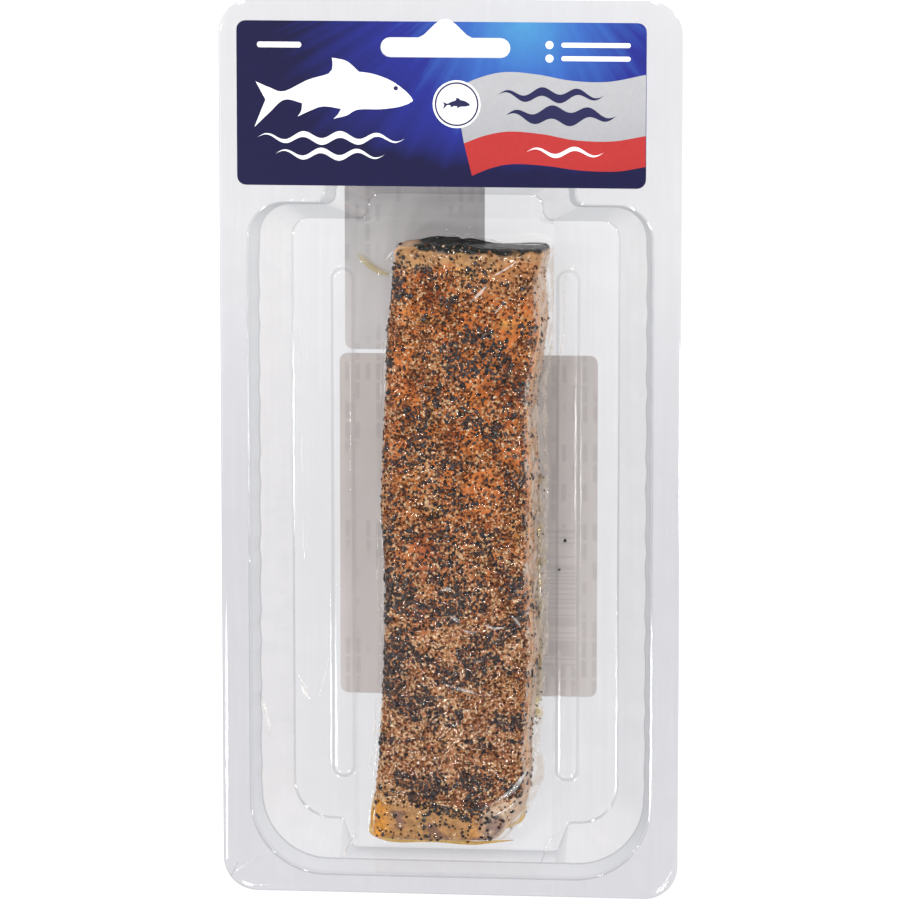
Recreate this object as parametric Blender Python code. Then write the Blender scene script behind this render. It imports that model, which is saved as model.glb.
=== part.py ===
"""A peppered hot smoked salmon fillet sealed in a clear hanging pack, lying on its back.

Metres, +Z up, +Y towards the hanging slot. The origin is under the middle of the pack, at the height
of the labels that it rests on. The nodes are the formed tray, the fillet, the clear lidding film over
both, the printed header label and the two labels under the tray.
"""

import math
import random

import bmesh
import bpy
from mathutils import Euler, Matrix, Vector

MM = 0.001

# The pack's outline and its levels
PACK_WIDTH = 114.4 * MM
PACK_LENGTH = 224.6 * MM
PACK_CORNER = 8.5 * MM
GAP = 0.3 * MM
LABEL_SHEET = 0.25 * MM
TRAY_WALL = 0.5 * MM
FILM_WALL = 0.3 * MM
POCKET_DEPTH = 15 * MM
FLOOR_TOP = LABEL_SHEET + GAP + TRAY_WALL
FLANGE_TOP = FLOOR_TOP + POCKET_DEPTH

# The formed pocket at the foot of its steep wall, with a short neck towards the header label
POCKET_HALF = 48.3 * MM
POCKET_FOOT = -105.4 * MM
POCKET_SHOULDER = 61 * MM
POCKET_FOOT_CORNER = 17 * MM
POCKET_SHOULDER_CORNER = 8 * MM
NECK_HALF = 29.2 * MM
NECK_TOP = 67.4 * MM
NECK_FOOT_CORNER = 2.6 * MM
NECK_TOP_CORNER = 3.2 * MM
FOOT_SLOPE_SHARE = 1.2
SHOULDER_SLOPE_SHARE = 0.6
SCALLOP_DEPTH = 0.3 * MM

# A bay in the pocket's foot keeps its floor flat up to the end wall
BAY_HALF = 25.5 * MM
FILM_BAY_HALF = 20 * MM
BAY_INSET = 1.4 * MM

# Wall of the pocket from rim to floor: how far in, and how far below the flange
POCKET_WALL = (
    (-1.9 * MM, 0 * MM),
    (-1.6 * MM, 0.7 * MM),
    (0 * MM, 7 * MM),
    (6.8 * MM, 14.4 * MM),
    (7.6 * MM, POCKET_DEPTH),
)
SCALLOPED_LEVEL = 2

# Film against the pocket's wall, down to the level where it spans the valleys beside the fillet
FILM_WALL_LINE = (
    (-1.9 * MM, 0 * MM),
    (-1.6 * MM, 0.7 * MM),
    (0.2 * MM, 6.8 * MM),
    (5.2 * MM, 12.3 * MM),
)
FILM_ROOM = 1.5 * MM

# Two ribs in the floor keep the fillet in the middle
RIB_OFFSET = 28.3 * MM
RIB_MIDDLE = -20.7 * MM
RIB_LENGTH = 130 * MM
RIB_WIDTH = 5.9 * MM
RIB_CORNER = 2.8 * MM
RIB_HEIGHT = 1.8 * MM
RIB_DRAFT = 0.9 * MM

# Hanging slot: a long slot with a dome over its middle
SLOT_MIDDLE = -1 * MM
SLOT_FOOT = 98.2 * MM
SLOT_WIDTH = 32 * MM
SLOT_HEIGHT = 4.9 * MM
DOME_HEIGHT = 4.6 * MM
DOME_HALF_WIDTH = 6.6 * MM
DOME_STEPS = 10

# Printed header label on the film: left, right, foot and top edge
HEADER_EDGES = (-52.6 * MM, 48.4 * MM, 66.4 * MM, 107 * MM)
HEADER_CORNER = 2.2 * MM

# Labels under the floor: left, right, foot and top edge of each
STRIP_EDGES = (-27.9 * MM, 7.2 * MM, 23.5 * MM, 66 * MM)
PANEL_EDGES = (-29.3 * MM, 35.6 * MM, -64.3 * MM, 22.5 * MM)
LABEL_CORNER = 2 * MM

# The fillet: share of its length from the back end, then the middle, half width and thickness there
FILLET_BACK = 51.5 * MM
FILLET_LENGTH = 151.5 * MM
FILLET_STATIONS = (
    (0.0, 4.9 * MM, 18.0 * MM, 16.5 * MM),
    (0.06, 2.9 * MM, 18.8 * MM, 18.6 * MM),
    (0.13, 3.2 * MM, 18.8 * MM, 19.3 * MM),
    (0.26, 0.8 * MM, 17.4 * MM, 19.5 * MM),
    (0.4, 1.5 * MM, 18.7 * MM, 19.5 * MM),
    (0.54, 2.5 * MM, 19.0 * MM, 19.0 * MM),
    (0.68, 1.8 * MM, 18.5 * MM, 17.6 * MM),
    (0.82, 0.6 * MM, 18.2 * MM, 15.2 * MM),
    (0.93, -0.8 * MM, 18.6 * MM, 12.0 * MM),
    (1.0, -4.2 * MM, 15.2 * MM, 9.0 * MM),
)
FILLET_SECTIONS = 25
FILLET_SIDE_SLANT = 1.2 * MM
FILLET_FOOT_CORNER = 2.6 * MM
FILLET_TOP_CORNER = 3.2 * MM
FILLET_CROWN = 0.6 * MM
FILLET_END_ROUND = 2 * MM
FILLET_END_STEPS = 3

# Coarse cracked pepper pressed into the top of the fillet
PEPPER_SEED = 11
PEPPER_COUNT = 180
PEPPER_TRIES = 9000
PEPPER_SPACING = 3.7 * MM
PEPPER_SIZES = (0.65 * MM, 1.15 * MM)
PEPPER_FLATNESS = 0.62
PEPPER_RISE = 0.12
PEPPER_ROUGHNESS = 0.14
PEPPER_EDGE_MARGIN = 2.4 * MM
PEPPER_SHARES = (0.05, 0.95)


def clear_scene():
    """Starts from an empty scene."""
    for obj in list(bpy.data.objects):
        bpy.data.objects.remove(obj)


def material(name, colour, roughness, alpha=1.0):
    """A Principled material with the part's own colour."""
    made = bpy.data.materials.new(name)
    made.use_nodes = True
    shader = made.node_tree.nodes["Principled BSDF"]
    shader.inputs["Base Color"].default_value = (*colour, 1)
    shader.inputs["Roughness"].default_value = roughness
    shader.inputs["Alpha"].default_value = alpha
    return made


def mesh_object(name, bm, finish=None):
    """Turns an edit mesh into a named object with outward normals."""
    bmesh.ops.recalc_face_normals(bm, faces=bm.faces)
    mesh = bpy.data.meshes.new(name)
    bm.to_mesh(mesh)
    bm.free()
    if finish:
        mesh.materials.append(finish)
    obj = bpy.data.objects.new(name, mesh)
    bpy.context.scene.collection.objects.link(obj)
    return obj


def rounded_outline(corners, arc_steps, run_pieces, inset=0.0):
    """Points round a counter-clockwise outline whose corners are (x, y, radius), moved in by inset.

    Every corner is drawn in its own number of steps and every straight run in its own number of
    pieces, so that outlines with the same numbers can be bridged.
    """
    arcs = []
    for i, (x, y, radius) in enumerate(corners):
        here = Vector((x, y))
        back = (Vector(corners[i - 1][:2]) - here).normalized()
        ahead = (Vector(corners[(i + 1) % len(corners)][:2]) - here).normalized()
        half = back.angle(ahead) / 2
        centre = here + (back + ahead).normalized() * (radius / math.sin(half))
        start = here + back * (radius / math.tan(half)) - centre
        turn = 1 if back.x * ahead.y - back.y * ahead.x < 0 else -1
        sweep = turn * (math.pi - 2 * half)
        arcs.append((centre, radius - turn * inset, math.atan2(start.y, start.x), sweep))
    points = []
    for i, (centre, reach, first, sweep) in enumerate(arcs):
        for k in range(arc_steps[i] + 1):
            angle = first + sweep * k / arc_steps[i]
            points.append(centre + reach * Vector((math.cos(angle), math.sin(angle))))
        start = points[-1]
        centre, reach, first, sweep = arcs[(i + 1) % len(arcs)]
        end = centre + reach * Vector((math.cos(first), math.sin(first)))
        points += [start.lerp(end, k / run_pieces[i]) for k in range(1, run_pieces[i])]
    return points


def rounded_rectangle(left, right, foot, top, corner, steps, inset=0.0):
    """Points round a rounded rectangle with undivided sides."""
    corners = ((left, foot, corner), (right, foot, corner), (right, top, corner), (left, top, corner))
    return rounded_outline(corners, (steps,) * 4, (1,) * 4, inset)


def offset_profile(profile, distance):
    """Moves a (way in, height) line square to itself, positive away from the food."""
    normals = [(0.0, -1.0)]
    for (a, b), (c, d) in zip(profile, profile[1:]):
        length = math.hypot(c - a, d - b)
        normals.append(((d - b) / length, -(c - a) / length))
    normals.append((0.0, -1.0))
    moved = []
    for (way, height), first, second in zip(profile, normals, normals[1:]):
        x, y = first[0] + second[0], first[1] + second[1]
        length = math.hypot(x, y)
        x, y = x / length, y / length
        reach = distance / (x * first[0] + y * first[1])
        moved.append((way + x * reach, height + y * reach))
    return moved


def ring(bm, points, height):
    """Vertices at the points, all at one height."""
    return [bm.verts.new((p[0], p[1], height)) for p in points]


def bridge(bm, first, second):
    """Quads between two rings of the same length."""
    for i in range(len(first)):
        j = (i + 1) % len(first)
        bm.faces.new((first[i], first[j], second[j], second[i]))


def fill(bm, rings):
    """Closes the area inside the first ring and outside the others."""
    edges = []
    for loop in rings:
        for i, vertex in enumerate(loop):
            pair = (vertex, loop[(i + 1) % len(loop)])
            edges.append(bm.edges.get(pair) or bm.edges.new(pair))
    bmesh.ops.triangle_fill(bm, use_beauty=True, edges=edges)


def apply_boolean(obj, operation, others):
    """Applies one Boolean with a list of objects, and removes them."""
    tools = bpy.data.collections.new("tools")
    for other in others:
        tools.objects.link(other)
    modifier = obj.modifiers.new("combine", "BOOLEAN")
    modifier.operation = operation
    modifier.solver = "EXACT"
    modifier.operand_type = "COLLECTION"
    modifier.collection = tools
    graph = bpy.context.evaluated_depsgraph_get()
    result = bpy.data.meshes.new_from_object(obj.evaluated_get(graph))
    obj.modifiers.clear()
    obj.data = result
    for other in others:
        bpy.data.objects.remove(other)
    bpy.data.collections.remove(tools)


def plate(name, points, low, high, finish):
    """A flat sheet of the outline between two heights."""
    bm = bmesh.new()
    lower, upper = ring(bm, points, low), ring(bm, points, high)
    bridge(bm, lower, upper)
    fill(bm, [lower])
    fill(bm, [upper])
    return mesh_object(name, bm, finish)


def pack_outline(grow=0.0):
    """The die-cut edge of tray and film."""
    half, end = PACK_WIDTH / 2, PACK_LENGTH / 2
    return rounded_rectangle(-half, half, -end, end, PACK_CORNER, 5, -grow)


def slot_outline():
    """The hanging slot, with the dome as a raised cosine over its middle."""
    half = SLOT_WIDTH / 2
    top = SLOT_FOOT + SLOT_HEIGHT
    radius = SLOT_HEIGHT / 2 - 0.02 * MM
    slot = rounded_rectangle(SLOT_MIDDLE - half, SLOT_MIDDLE + half, SLOT_FOOT, top, radius, 4)
    dome = []
    for k in range(DOME_STEPS + 1):
        across = DOME_HALF_WIDTH * (1 - 2 * k / DOME_STEPS)
        rise = DOME_HEIGHT * ((1 + math.cos(math.pi * across / DOME_HALF_WIDTH)) / 2) ** 0.8
        dome.append(Vector((SLOT_MIDDLE + across, top + rise)))
    return slot[:15] + dome + slot[15:]


def pocket_outline(way, room, bay_half=BAY_HALF, scalloped=False):
    """The pocket's outline, moved in by way; room keeps layers apart where the bay stops that move."""
    side = POCKET_HALF - way
    foot = POCKET_FOOT + way * FOOT_SLOPE_SHARE
    shoulder = POCKET_SHOULDER - way * SHOULDER_SLOPE_SHARE
    top = NECK_TOP - way * SHOULDER_SLOPE_SHARE
    neck = NECK_HALF - way
    foot_corner = POCKET_FOOT_CORNER - way
    shoulder_corner = POCKET_SHOULDER_CORNER - way / 2
    corners = (
        (-side, foot, foot_corner),
        (side, foot, foot_corner),
        (side, shoulder, shoulder_corner),
        (neck, shoulder, NECK_FOOT_CORNER),
        (neck, top, NECK_TOP_CORNER),
        (-neck, top, NECK_TOP_CORNER),
        (-neck, shoulder, NECK_FOOT_CORNER),
        (-side, shoulder, shoulder_corner),
    )
    points = rounded_outline(corners, (6, 6, 4, 2, 2, 2, 2, 4), (10, 14, 1, 1, 6, 1, 1, 14))
    low, high = foot + foot_corner + 1e-6, shoulder - shoulder_corner - 1e-6
    runs = [p for p in points if abs(abs(p.x) - side) < 1e-6 and low < p.y < high]
    for k, p in enumerate(sorted(runs, key=lambda p: (round(p.x, 5), p.y))):
        if scalloped:
            p.x += SCALLOP_DEPTH * (-1) ** k
    limit = POCKET_FOOT + BAY_INSET + room
    for p in points:
        if abs(p.y - foot) < 1e-6 and abs(p.x) < bay_half:
            p.y = min(p.y, limit)
    return points


def rib_outline(side, inset):
    """One rib's outline, moved in."""
    middle, half, end = side * RIB_OFFSET, RIB_WIDTH / 2, RIB_LENGTH / 2
    edges = (middle - half, middle + half, RIB_MIDDLE - end, RIB_MIDDLE + end)
    return rounded_rectangle(*edges, RIB_CORNER, 3, inset)


def tray(finish):
    """The formed tray: a food-side skin and an under skin, joined round its edge and the slot."""
    bm = bmesh.new()
    edges, slots = [], []
    wall_line = [(way, FLANGE_TOP - depth) for way, depth in POCKET_WALL]
    rib_line = [(0.0, FLOOR_TOP), (RIB_DRAFT, FLOOR_TOP + RIB_HEIGHT)]
    for drop in (0.0, TRAY_WALL):
        edges.append(ring(bm, pack_outline(), FLANGE_TOP - drop))
        slots.append(ring(bm, slot_outline(), FLANGE_TOP - drop))
        wall = [
            ring(bm, pocket_outline(way, -drop, scalloped=level == SCALLOPED_LEVEL), height)
            for level, (way, height) in enumerate(offset_profile(wall_line, drop))
        ]
        for first, second in zip(wall, wall[1:]):
            bridge(bm, first, second)
        fill(bm, [edges[-1], slots[-1], wall[0]])
        feet = []
        for side in (-1, 1):
            foot, top = (ring(bm, rib_outline(side, way), z) for way, z in offset_profile(rib_line, drop))
            bridge(bm, foot, top)
            fill(bm, [top])
            feet.append(foot)
        fill(bm, [wall[-1], *feet])
    bridge(bm, *edges)
    bridge(bm, *slots)
    return mesh_object("tray", bm, finish)


def fillet_at(share):
    """(middle, half width, thickness) of the fillet at a share of its length, on a smooth curve."""
    share = min(max(share, 0.0), 1.0)
    rows = FILLET_STATIONS
    k = max(i for i in range(len(rows) - 1) if rows[i][0] <= share)
    before, start, end, after = (rows[min(max(i, 0), len(rows) - 1)] for i in range(k - 1, k + 3))
    t = (share - start[0]) / (end[0] - start[0])
    values = []
    for c in (1, 2, 3):
        first = (end[c] - before[c]) / (end[0] - before[0]) * (end[0] - start[0])
        last = (after[c] - start[c]) / (after[0] - start[0]) * (end[0] - start[0])
        values.append(
            (2 * t**3 - 3 * t**2 + 1) * start[c]
            + (t**3 - 2 * t**2 + t) * first
            + (3 * t**2 - 2 * t**3) * end[c]
            + (t**3 - t**2) * last
        )
    return values


def fillet_section(share, grow):
    """(x, z) points round the fillet's cross-section, moved out."""
    middle, half, thickness = fillet_at(share)
    foot = FLOOR_TOP + GAP
    corners = (
        (middle - half, foot, FILLET_FOOT_CORNER),
        (middle + half + FILLET_SIDE_SLANT, foot, FILLET_FOOT_CORNER),
        (middle + half, foot + thickness, FILLET_TOP_CORNER),
        (middle - half, foot + thickness, FILLET_TOP_CORNER),
    )
    points = rounded_outline(corners, (2, 2, 3, 3), (4, 1, 5, 1), -grow)
    for p in points:
        if p.y > foot + thickness / 2:
            across = (p.x - middle) / (half + grow)
            p.y += FILLET_CROWN * max(0.0, 1 - across * across)
    return points


def fillet_solid(name, grow, finish=None):
    """The fillet as sections from the back end to the front, rounded at both ends and moved out."""
    back = []
    for k in range(FILLET_END_STEPS):
        angle = math.pi / 2 * k / FILLET_END_STEPS
        back.append((FILLET_END_ROUND * (1 - math.cos(angle)), FILLET_END_ROUND * (1 - math.sin(angle))))
    straight = FILLET_LENGTH - 2 * FILLET_END_ROUND
    places = list(back)
    for k in range(FILLET_SECTIONS):
        places.append((FILLET_END_ROUND + straight * k / (FILLET_SECTIONS - 1), 0.0))
    places += [(FILLET_LENGTH - way, inset) for way, inset in reversed(back)]
    stretch = 1 + 2 * grow / FILLET_LENGTH
    bm = bmesh.new()
    rings = []
    for way, inset in places:
        y = FILLET_BACK - FILLET_LENGTH / 2 + (FILLET_LENGTH / 2 - way) * stretch
        section = fillet_section(way / FILLET_LENGTH, grow - inset)
        rings.append([bm.verts.new((p.x, y, p.y)) for p in section])
    for first, second in zip(rings, rings[1:]):
        bridge(bm, first, second)
    bm.faces.new(rings[0])
    bm.faces.new(rings[-1])
    return mesh_object(name, bm, finish)


def pepper_grain(draw, x, y, z):
    """One cracked grain, sitting half sunk at the point."""
    size = draw.uniform(*PEPPER_SIZES)
    bm = bmesh.new()
    bmesh.ops.create_icosphere(bm, subdivisions=1, radius=size)
    for vertex in bm.verts:
        vertex.co *= 1 + draw.uniform(-PEPPER_ROUGHNESS, PEPPER_ROUGHNESS)
    turn = Euler([draw.uniform(0, math.tau) for _ in range(3)]).to_matrix().to_4x4()
    squash = Matrix.Diagonal((1, draw.uniform(0.75, 1), PEPPER_FLATNESS, 1))
    place = Matrix.Translation((x, y, z + PEPPER_RISE * size))
    spin = Matrix.Rotation(draw.uniform(0, math.tau), 4, "Z")
    bm.transform(place @ spin @ squash @ turn)
    return mesh_object("grain", bm)


def pepper():
    """Grains spread evenly over the top of the fillet."""
    draw = random.Random(PEPPER_SEED)
    grains, taken = [], []
    for _ in range(PEPPER_TRIES):
        share = draw.uniform(*PEPPER_SHARES)
        middle, half, thickness = fillet_at(share)
        across = draw.uniform(-1, 1)
        x = middle + across * (half - PEPPER_EDGE_MARGIN)
        y = FILLET_BACK - share * FILLET_LENGTH
        if any((x - a) ** 2 + (y - b) ** 2 < PEPPER_SPACING**2 for a, b in taken):
            continue
        taken.append((x, y))
        crown = FILLET_CROWN * (1 - ((x - middle) / half) ** 2)
        grains.append(pepper_grain(draw, x, y, FLOOR_TOP + GAP + thickness + crown))
        if len(grains) == PEPPER_COUNT:
            break
    return grains


def fillet(finish):
    """The fillet with its pepper fused to it."""
    made = fillet_solid("fillet", 0.0, finish)
    apply_boolean(made, "UNION", pepper())
    return made


def film_block(lift, grow, low, with_slot):
    """Everything from a low level up to the film, which is raised by lift."""
    bm = bmesh.new()
    room = GAP + lift
    line = offset_profile([(way, FLANGE_TOP - depth) for way, depth in FILM_WALL_LINE], -room)
    wall = [ring(bm, pocket_outline(way, room, FILM_BAY_HALF), height) for way, height in line]
    for first, second in zip(wall, wall[1:]):
        bridge(bm, first, second)
    fill(bm, [wall[-1]])
    lower, upper = (ring(bm, pack_outline(grow), z) for z in (low, FLANGE_TOP + room))
    bridge(bm, lower, upper)
    slots = []
    if with_slot:
        slots = [ring(bm, slot_outline(), z) for z in (low, FLANGE_TOP + room)]
        bridge(bm, *slots)
    fill(bm, [upper, wall[0], *slots[1:]])
    fill(bm, [lower, *slots[:1]])
    return mesh_object("film", bm)


def film(finish):
    """The lidding film: flat on the flange, down beside the fillet and over it."""
    made = film_block(FILM_WALL, 0.0, -5 * MM, True)
    apply_boolean(made, "UNION", [fillet_solid("over", FILM_ROOM + FILM_WALL)])
    under = film_block(0.0, 1 * MM, -8 * MM, False)
    apply_boolean(under, "UNION", [fillet_solid("inside", FILM_ROOM)])
    apply_boolean(made, "DIFFERENCE", [under])
    made.data.materials.clear()
    made.data.materials.append(finish)
    return made


def header(finish):
    """The printed label over the film, with the hanging slot through it."""
    low = FLANGE_TOP + GAP + FILM_WALL + GAP
    outline = rounded_rectangle(*HEADER_EDGES, HEADER_CORNER, 4)
    made = plate("header_label", outline, low, low + LABEL_SHEET, finish)
    punch = plate("punch", slot_outline(), low - 1 * MM, low + 1 * MM, finish)
    apply_boolean(made, "DIFFERENCE", [punch])
    return made


def back_label(name, edges, finish):
    """A label under the tray's floor."""
    return plate(name, rounded_rectangle(*edges, LABEL_CORNER, 4), 0.0, LABEL_SHEET, finish)


def main():
    """Builds the pack."""
    clear_scene()
    clear = (0.86, 0.87, 0.89)
    tray(material("clear tray", clear, 0.12, 0.3))
    fillet(material("peppered salmon", (0.42, 0.16, 0.06), 0.4))
    film(material("clear film", clear, 0.1, 0.25))
    header(material("printed header", (0.05, 0.06, 0.26), 0.35))
    paper = material("back labels", (0.78, 0.77, 0.76), 0.5)
    back_label("back_label_strip", STRIP_EDGES, paper)
    back_label("back_label_panel", PANEL_EDGES, paper)


main()
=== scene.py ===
"""Looks of a peppered hot smoked salmon fillet, sealed in a clear pack that lies on its back.

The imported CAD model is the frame. Everything is in metres in that frame: +Z up, +Y towards the hanging
slot. Each part of the pack is a class that builds its meshes and dresses them.
"""

import logging
import math
from dataclasses import dataclass
from enum import Enum
from itertools import product
from typing import Callable, Optional, Sequence

import bmesh
import bpy
import numpy as np
from mathutils import Matrix, Vector
from mathutils.bvhtree import BVHTree


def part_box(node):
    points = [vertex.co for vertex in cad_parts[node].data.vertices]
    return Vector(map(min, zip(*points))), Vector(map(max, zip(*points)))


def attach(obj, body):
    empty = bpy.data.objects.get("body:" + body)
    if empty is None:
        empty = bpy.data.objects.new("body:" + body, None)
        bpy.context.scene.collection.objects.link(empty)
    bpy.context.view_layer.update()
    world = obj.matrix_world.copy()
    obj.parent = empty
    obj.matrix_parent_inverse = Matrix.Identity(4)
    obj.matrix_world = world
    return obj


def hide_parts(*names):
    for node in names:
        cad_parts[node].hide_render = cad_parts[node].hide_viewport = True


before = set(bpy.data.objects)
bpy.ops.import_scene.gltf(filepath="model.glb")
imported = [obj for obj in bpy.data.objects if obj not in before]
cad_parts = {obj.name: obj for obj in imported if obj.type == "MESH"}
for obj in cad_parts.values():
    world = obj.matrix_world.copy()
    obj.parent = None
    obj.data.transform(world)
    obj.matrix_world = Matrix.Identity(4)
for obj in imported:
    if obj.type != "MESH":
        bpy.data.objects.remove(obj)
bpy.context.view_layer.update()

MM = 0.001
LOG = logging.getLogger("salmon_pack")
Point = tuple[float, float]
Point3 = tuple[float, float, float]
Colour = tuple[float, float, float]
Faces = list[tuple[int, ...]]
Material = bpy.types.Material
Piece = bpy.types.Object
Socket = bpy.types.NodeSocket
EditMesh = bmesh.types.BMesh
SKY = 0.2  # A height above the whole pack
NOISE_TABLE = 64  # Random values along each side of the noise's table


# Numbers and noise


def smooth_noise(x: np.ndarray, y: np.ndarray, cell: float, seed: int) -> np.ndarray:
    """Soft random hills over a plane.

    Args:
        x: Places along X.
        y: Places along Y.
        cell: Distance between one random value and the next.
        seed: Picks the pattern.

    Returns:
        Values from -1 to 1.
    """
    table = np.random.default_rng(seed).random((NOISE_TABLE, NOISE_TABLE)) * 2 - 1
    u, v = np.asarray(x) / cell + 500, np.asarray(y) / cell + 500
    i, j = np.floor(u).astype(int), np.floor(v).astype(int)
    a, b = u - i, v - j
    a, b = a * a * (3 - 2 * a), b * b * (3 - 2 * b)

    def corner(m: int, n: int) -> np.ndarray:
        """The table's values at one corner of each place's cell."""
        return table[(i + m) % NOISE_TABLE, (j + n) % NOISE_TABLE]

    low = corner(0, 0) * (1 - a) + corner(1, 0) * a
    high = corner(0, 1) * (1 - a) + corner(1, 1) * a
    return low * (1 - b) + high * b


def layered_noise(x: np.ndarray, y: np.ndarray, cell: float, seed: int, layers: int = 3) -> np.ndarray:
    """Hills of several sizes added up.

    Args:
        x: Places along X.
        y: Places along Y.
        cell: Size of the widest hills.
        seed: Picks the pattern.
        layers: How many sizes, each half as wide and half as high as the last.

    Returns:
        Values from about -1 to 1.
    """
    total = sum(smooth_noise(x, y, cell / 2**k, seed + k) / 2**k for k in range(layers))
    return total / sum(1 / 2**k for k in range(layers))


def smooth_step(low: float, high: float, value: np.ndarray) -> np.ndarray:
    """Rises softly from 0 at low to 1 at high."""
    t = np.clip((np.asarray(value, dtype=float) - low) / (high - low), 0, 1)
    return t * t * (3 - 2 * t)


# Outlines


def rounded_outline(
    corners: Sequence[Point3], steps: Sequence[int], pieces: Sequence[int], inset: float = 0.0
) -> list[Vector]:
    """Points round a counter-clockwise outline with rounded corners.

    Args:
        corners: Each corner as x, y and radius.
        steps: In how many steps each corner is drawn.
        pieces: How many pieces each straight run after a corner has.
        inset: How far the outline is moved in.

    Returns:
        The points in order.
    """
    arcs = []
    for i, (x, y, radius) in enumerate(corners):
        here = Vector((x, y))
        back = (Vector(corners[i - 1][:2]) - here).normalized()
        ahead = (Vector(corners[(i + 1) % len(corners)][:2]) - here).normalized()
        half = back.angle(ahead) / 2
        centre = here + (back + ahead).normalized() * (radius / math.sin(half))
        start = here + back * (radius / math.tan(half)) - centre
        turn = 1 if back.x * ahead.y - back.y * ahead.x < 0 else -1
        arcs.append((centre, radius - turn * inset, math.atan2(start.y, start.x), turn * (math.pi - 2 * half)))
    points = []
    for i, (centre, reach, first, sweep) in enumerate(arcs):
        for k in range(steps[i] + 1):
            angle = first + sweep * k / steps[i]
            points.append(centre + reach * Vector((math.cos(angle), math.sin(angle))))
        start = points[-1]
        centre, reach, first, sweep = arcs[(i + 1) % len(arcs)]
        end = centre + reach * Vector((math.cos(first), math.sin(first)))
        points += [start.lerp(end, k / pieces[i]) for k in range(1, pieces[i])]
    return points


def in_mm(points: Sequence[Point]) -> list[Point]:
    """Points in metres, from millimetres."""
    return [(x * MM, y * MM) for x, y in points]


def rounded_rectangle(
    left: float, right: float, foot: float, top: float, corner: float, steps: int = 8, inset: float = 0.0
) -> list[Vector]:
    """Points round a rounded rectangle with undivided sides."""
    corners = ((left, foot, corner), (right, foot, corner), (right, top, corner), (left, top, corner))
    return rounded_outline(corners, (steps,) * 4, (1,) * 4, inset)


def eased_line(corners: Sequence[Point], ease: float, steps: int = 4) -> list[Point]:
    """A bent line with its inner corners eased.

    Args:
        corners: The line's corners.
        ease: How far from each corner the bend starts.
        steps: In how many steps each bend is drawn.

    Returns:
        Points along the eased line.
    """
    line = [Vector(corner) for corner in corners]
    eased = [line[0]]
    for before, here, after in zip(line, line[1:], line[2:]):
        start = here.lerp(before, min(0.48, ease / (here - before).length))
        end = here.lerp(after, min(0.48, ease / (after - here).length))
        for k in range(steps + 1):
            t = k / steps
            eased.append(start.lerp(here, t).lerp(here.lerp(end, t), t))
    eased.append(line[-1])
    return [(p.x, p.y) for p in eased]


# Meshes


def in_scene(name: str, data: bpy.types.ID) -> Piece:
    """An object of the data, linked to the scene."""
    made = bpy.data.objects.new(name, data)
    bpy.context.scene.collection.objects.link(made)
    return made


def mesh_piece(
    name: str, verts: np.ndarray, faces: Sequence[Sequence[int]], finish: Material, smooth: bool = True
) -> Piece:
    """A mesh object from points and faces.

    Args:
        name: The piece's name.
        verts: Its points, one row each.
        faces: Its faces as rows of point numbers.
        finish: Its material.
        smooth: Whether it is shaded smooth.

    Returns:
        The object, in the scene.
    """
    mesh = bpy.data.meshes.new(name)
    mesh.from_pydata(np.asarray(verts).tolist(), [], [list(map(int, f)) for f in faces])
    mesh.update()
    mesh.materials.append(finish)
    if smooth:
        mesh.shade_smooth()
    return in_scene(name, mesh)


def bmesh_piece(name: str, bm: EditMesh, finish: Material, angle: float = 30) -> Piece:
    """A mesh object from an edit mesh, smooth below an angle between faces.

    Args:
        name: The piece's name.
        bm: Its edit mesh, which is used up.
        finish: Its material.
        angle: The greatest angle that is shaded smooth, in degrees.

    Returns:
        The object, in the scene.
    """
    mesh = bpy.data.meshes.new(name)
    bm.to_mesh(mesh)
    bm.free()
    mesh.materials.append(finish)
    mesh.shade_smooth()
    mesh.set_sharp_from_angle(angle=math.radians(angle))
    return in_scene(name, mesh)


def ring(bm: EditMesh, points: Sequence[Vector], height: float) -> list[bmesh.types.BMVert]:
    """Vertices at the points, all at one height."""
    return [bm.verts.new((p[0], p[1], height)) for p in points]


def bridge(bm: EditMesh, first: Sequence, second: Sequence, slot: int = 0) -> None:
    """Quads between two rings of the same length, in one of the piece's materials."""
    for i in range(len(first)):
        j = (i + 1) % len(first)
        bm.faces.new((first[i], first[j], second[j], second[i])).material_index = slot


def fill(bm: EditMesh, rings: Sequence[Sequence]) -> None:
    """Closes the area inside the first ring and outside the others."""
    edges = []
    for loop in rings:
        for i, vertex in enumerate(loop):
            pair = (vertex, loop[(i + 1) % len(loop)])
            edges.append(bm.edges.get(pair) or bm.edges.new(pair))
    bmesh.ops.triangle_fill(bm, use_beauty=True, edges=edges)


def face_up(bm: EditMesh) -> None:
    """Turns the faces of an open sheet alike, with most of them up."""
    bmesh.ops.recalc_face_normals(bm, faces=bm.faces)
    if sum(f.normal.z * f.calc_area() for f in bm.faces) < 0:
        bmesh.ops.reverse_faces(bm, faces=bm.faces)


def tree_of(*pieces: Piece) -> BVHTree:
    """A search tree over the faces of several pieces, which sit unmoved in the frame."""
    points, faces = [], []
    for piece in pieces:
        start = len(points)
        points += [v.co.copy() for v in piece.data.vertices]
        faces += [[start + i for i in polygon.vertices] for polygon in piece.data.polygons]
    return BVHTree.FromPolygons(points, faces)


def heights_under(tree: BVHTree, x: np.ndarray, y: np.ndarray, missing: float) -> np.ndarray:
    """Heights at which lines dropped at the places first meet the tree.

    Args:
        tree: The search tree.
        x: Places along X.
        y: Places along Y.
        missing: The height where a line meets nothing.

    Returns:
        One height for each place.
    """
    down = Vector((0, 0, -1))
    found = np.full(x.size, missing)
    for k, (a, b) in enumerate(zip(x.ravel(), y.ravel())):
        hit = tree.ray_cast(Vector((a, b, SKY)), down)[0]
        if hit is not None:
            found[k] = hit.z
    return found.reshape(x.shape)


# Nodes


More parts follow.
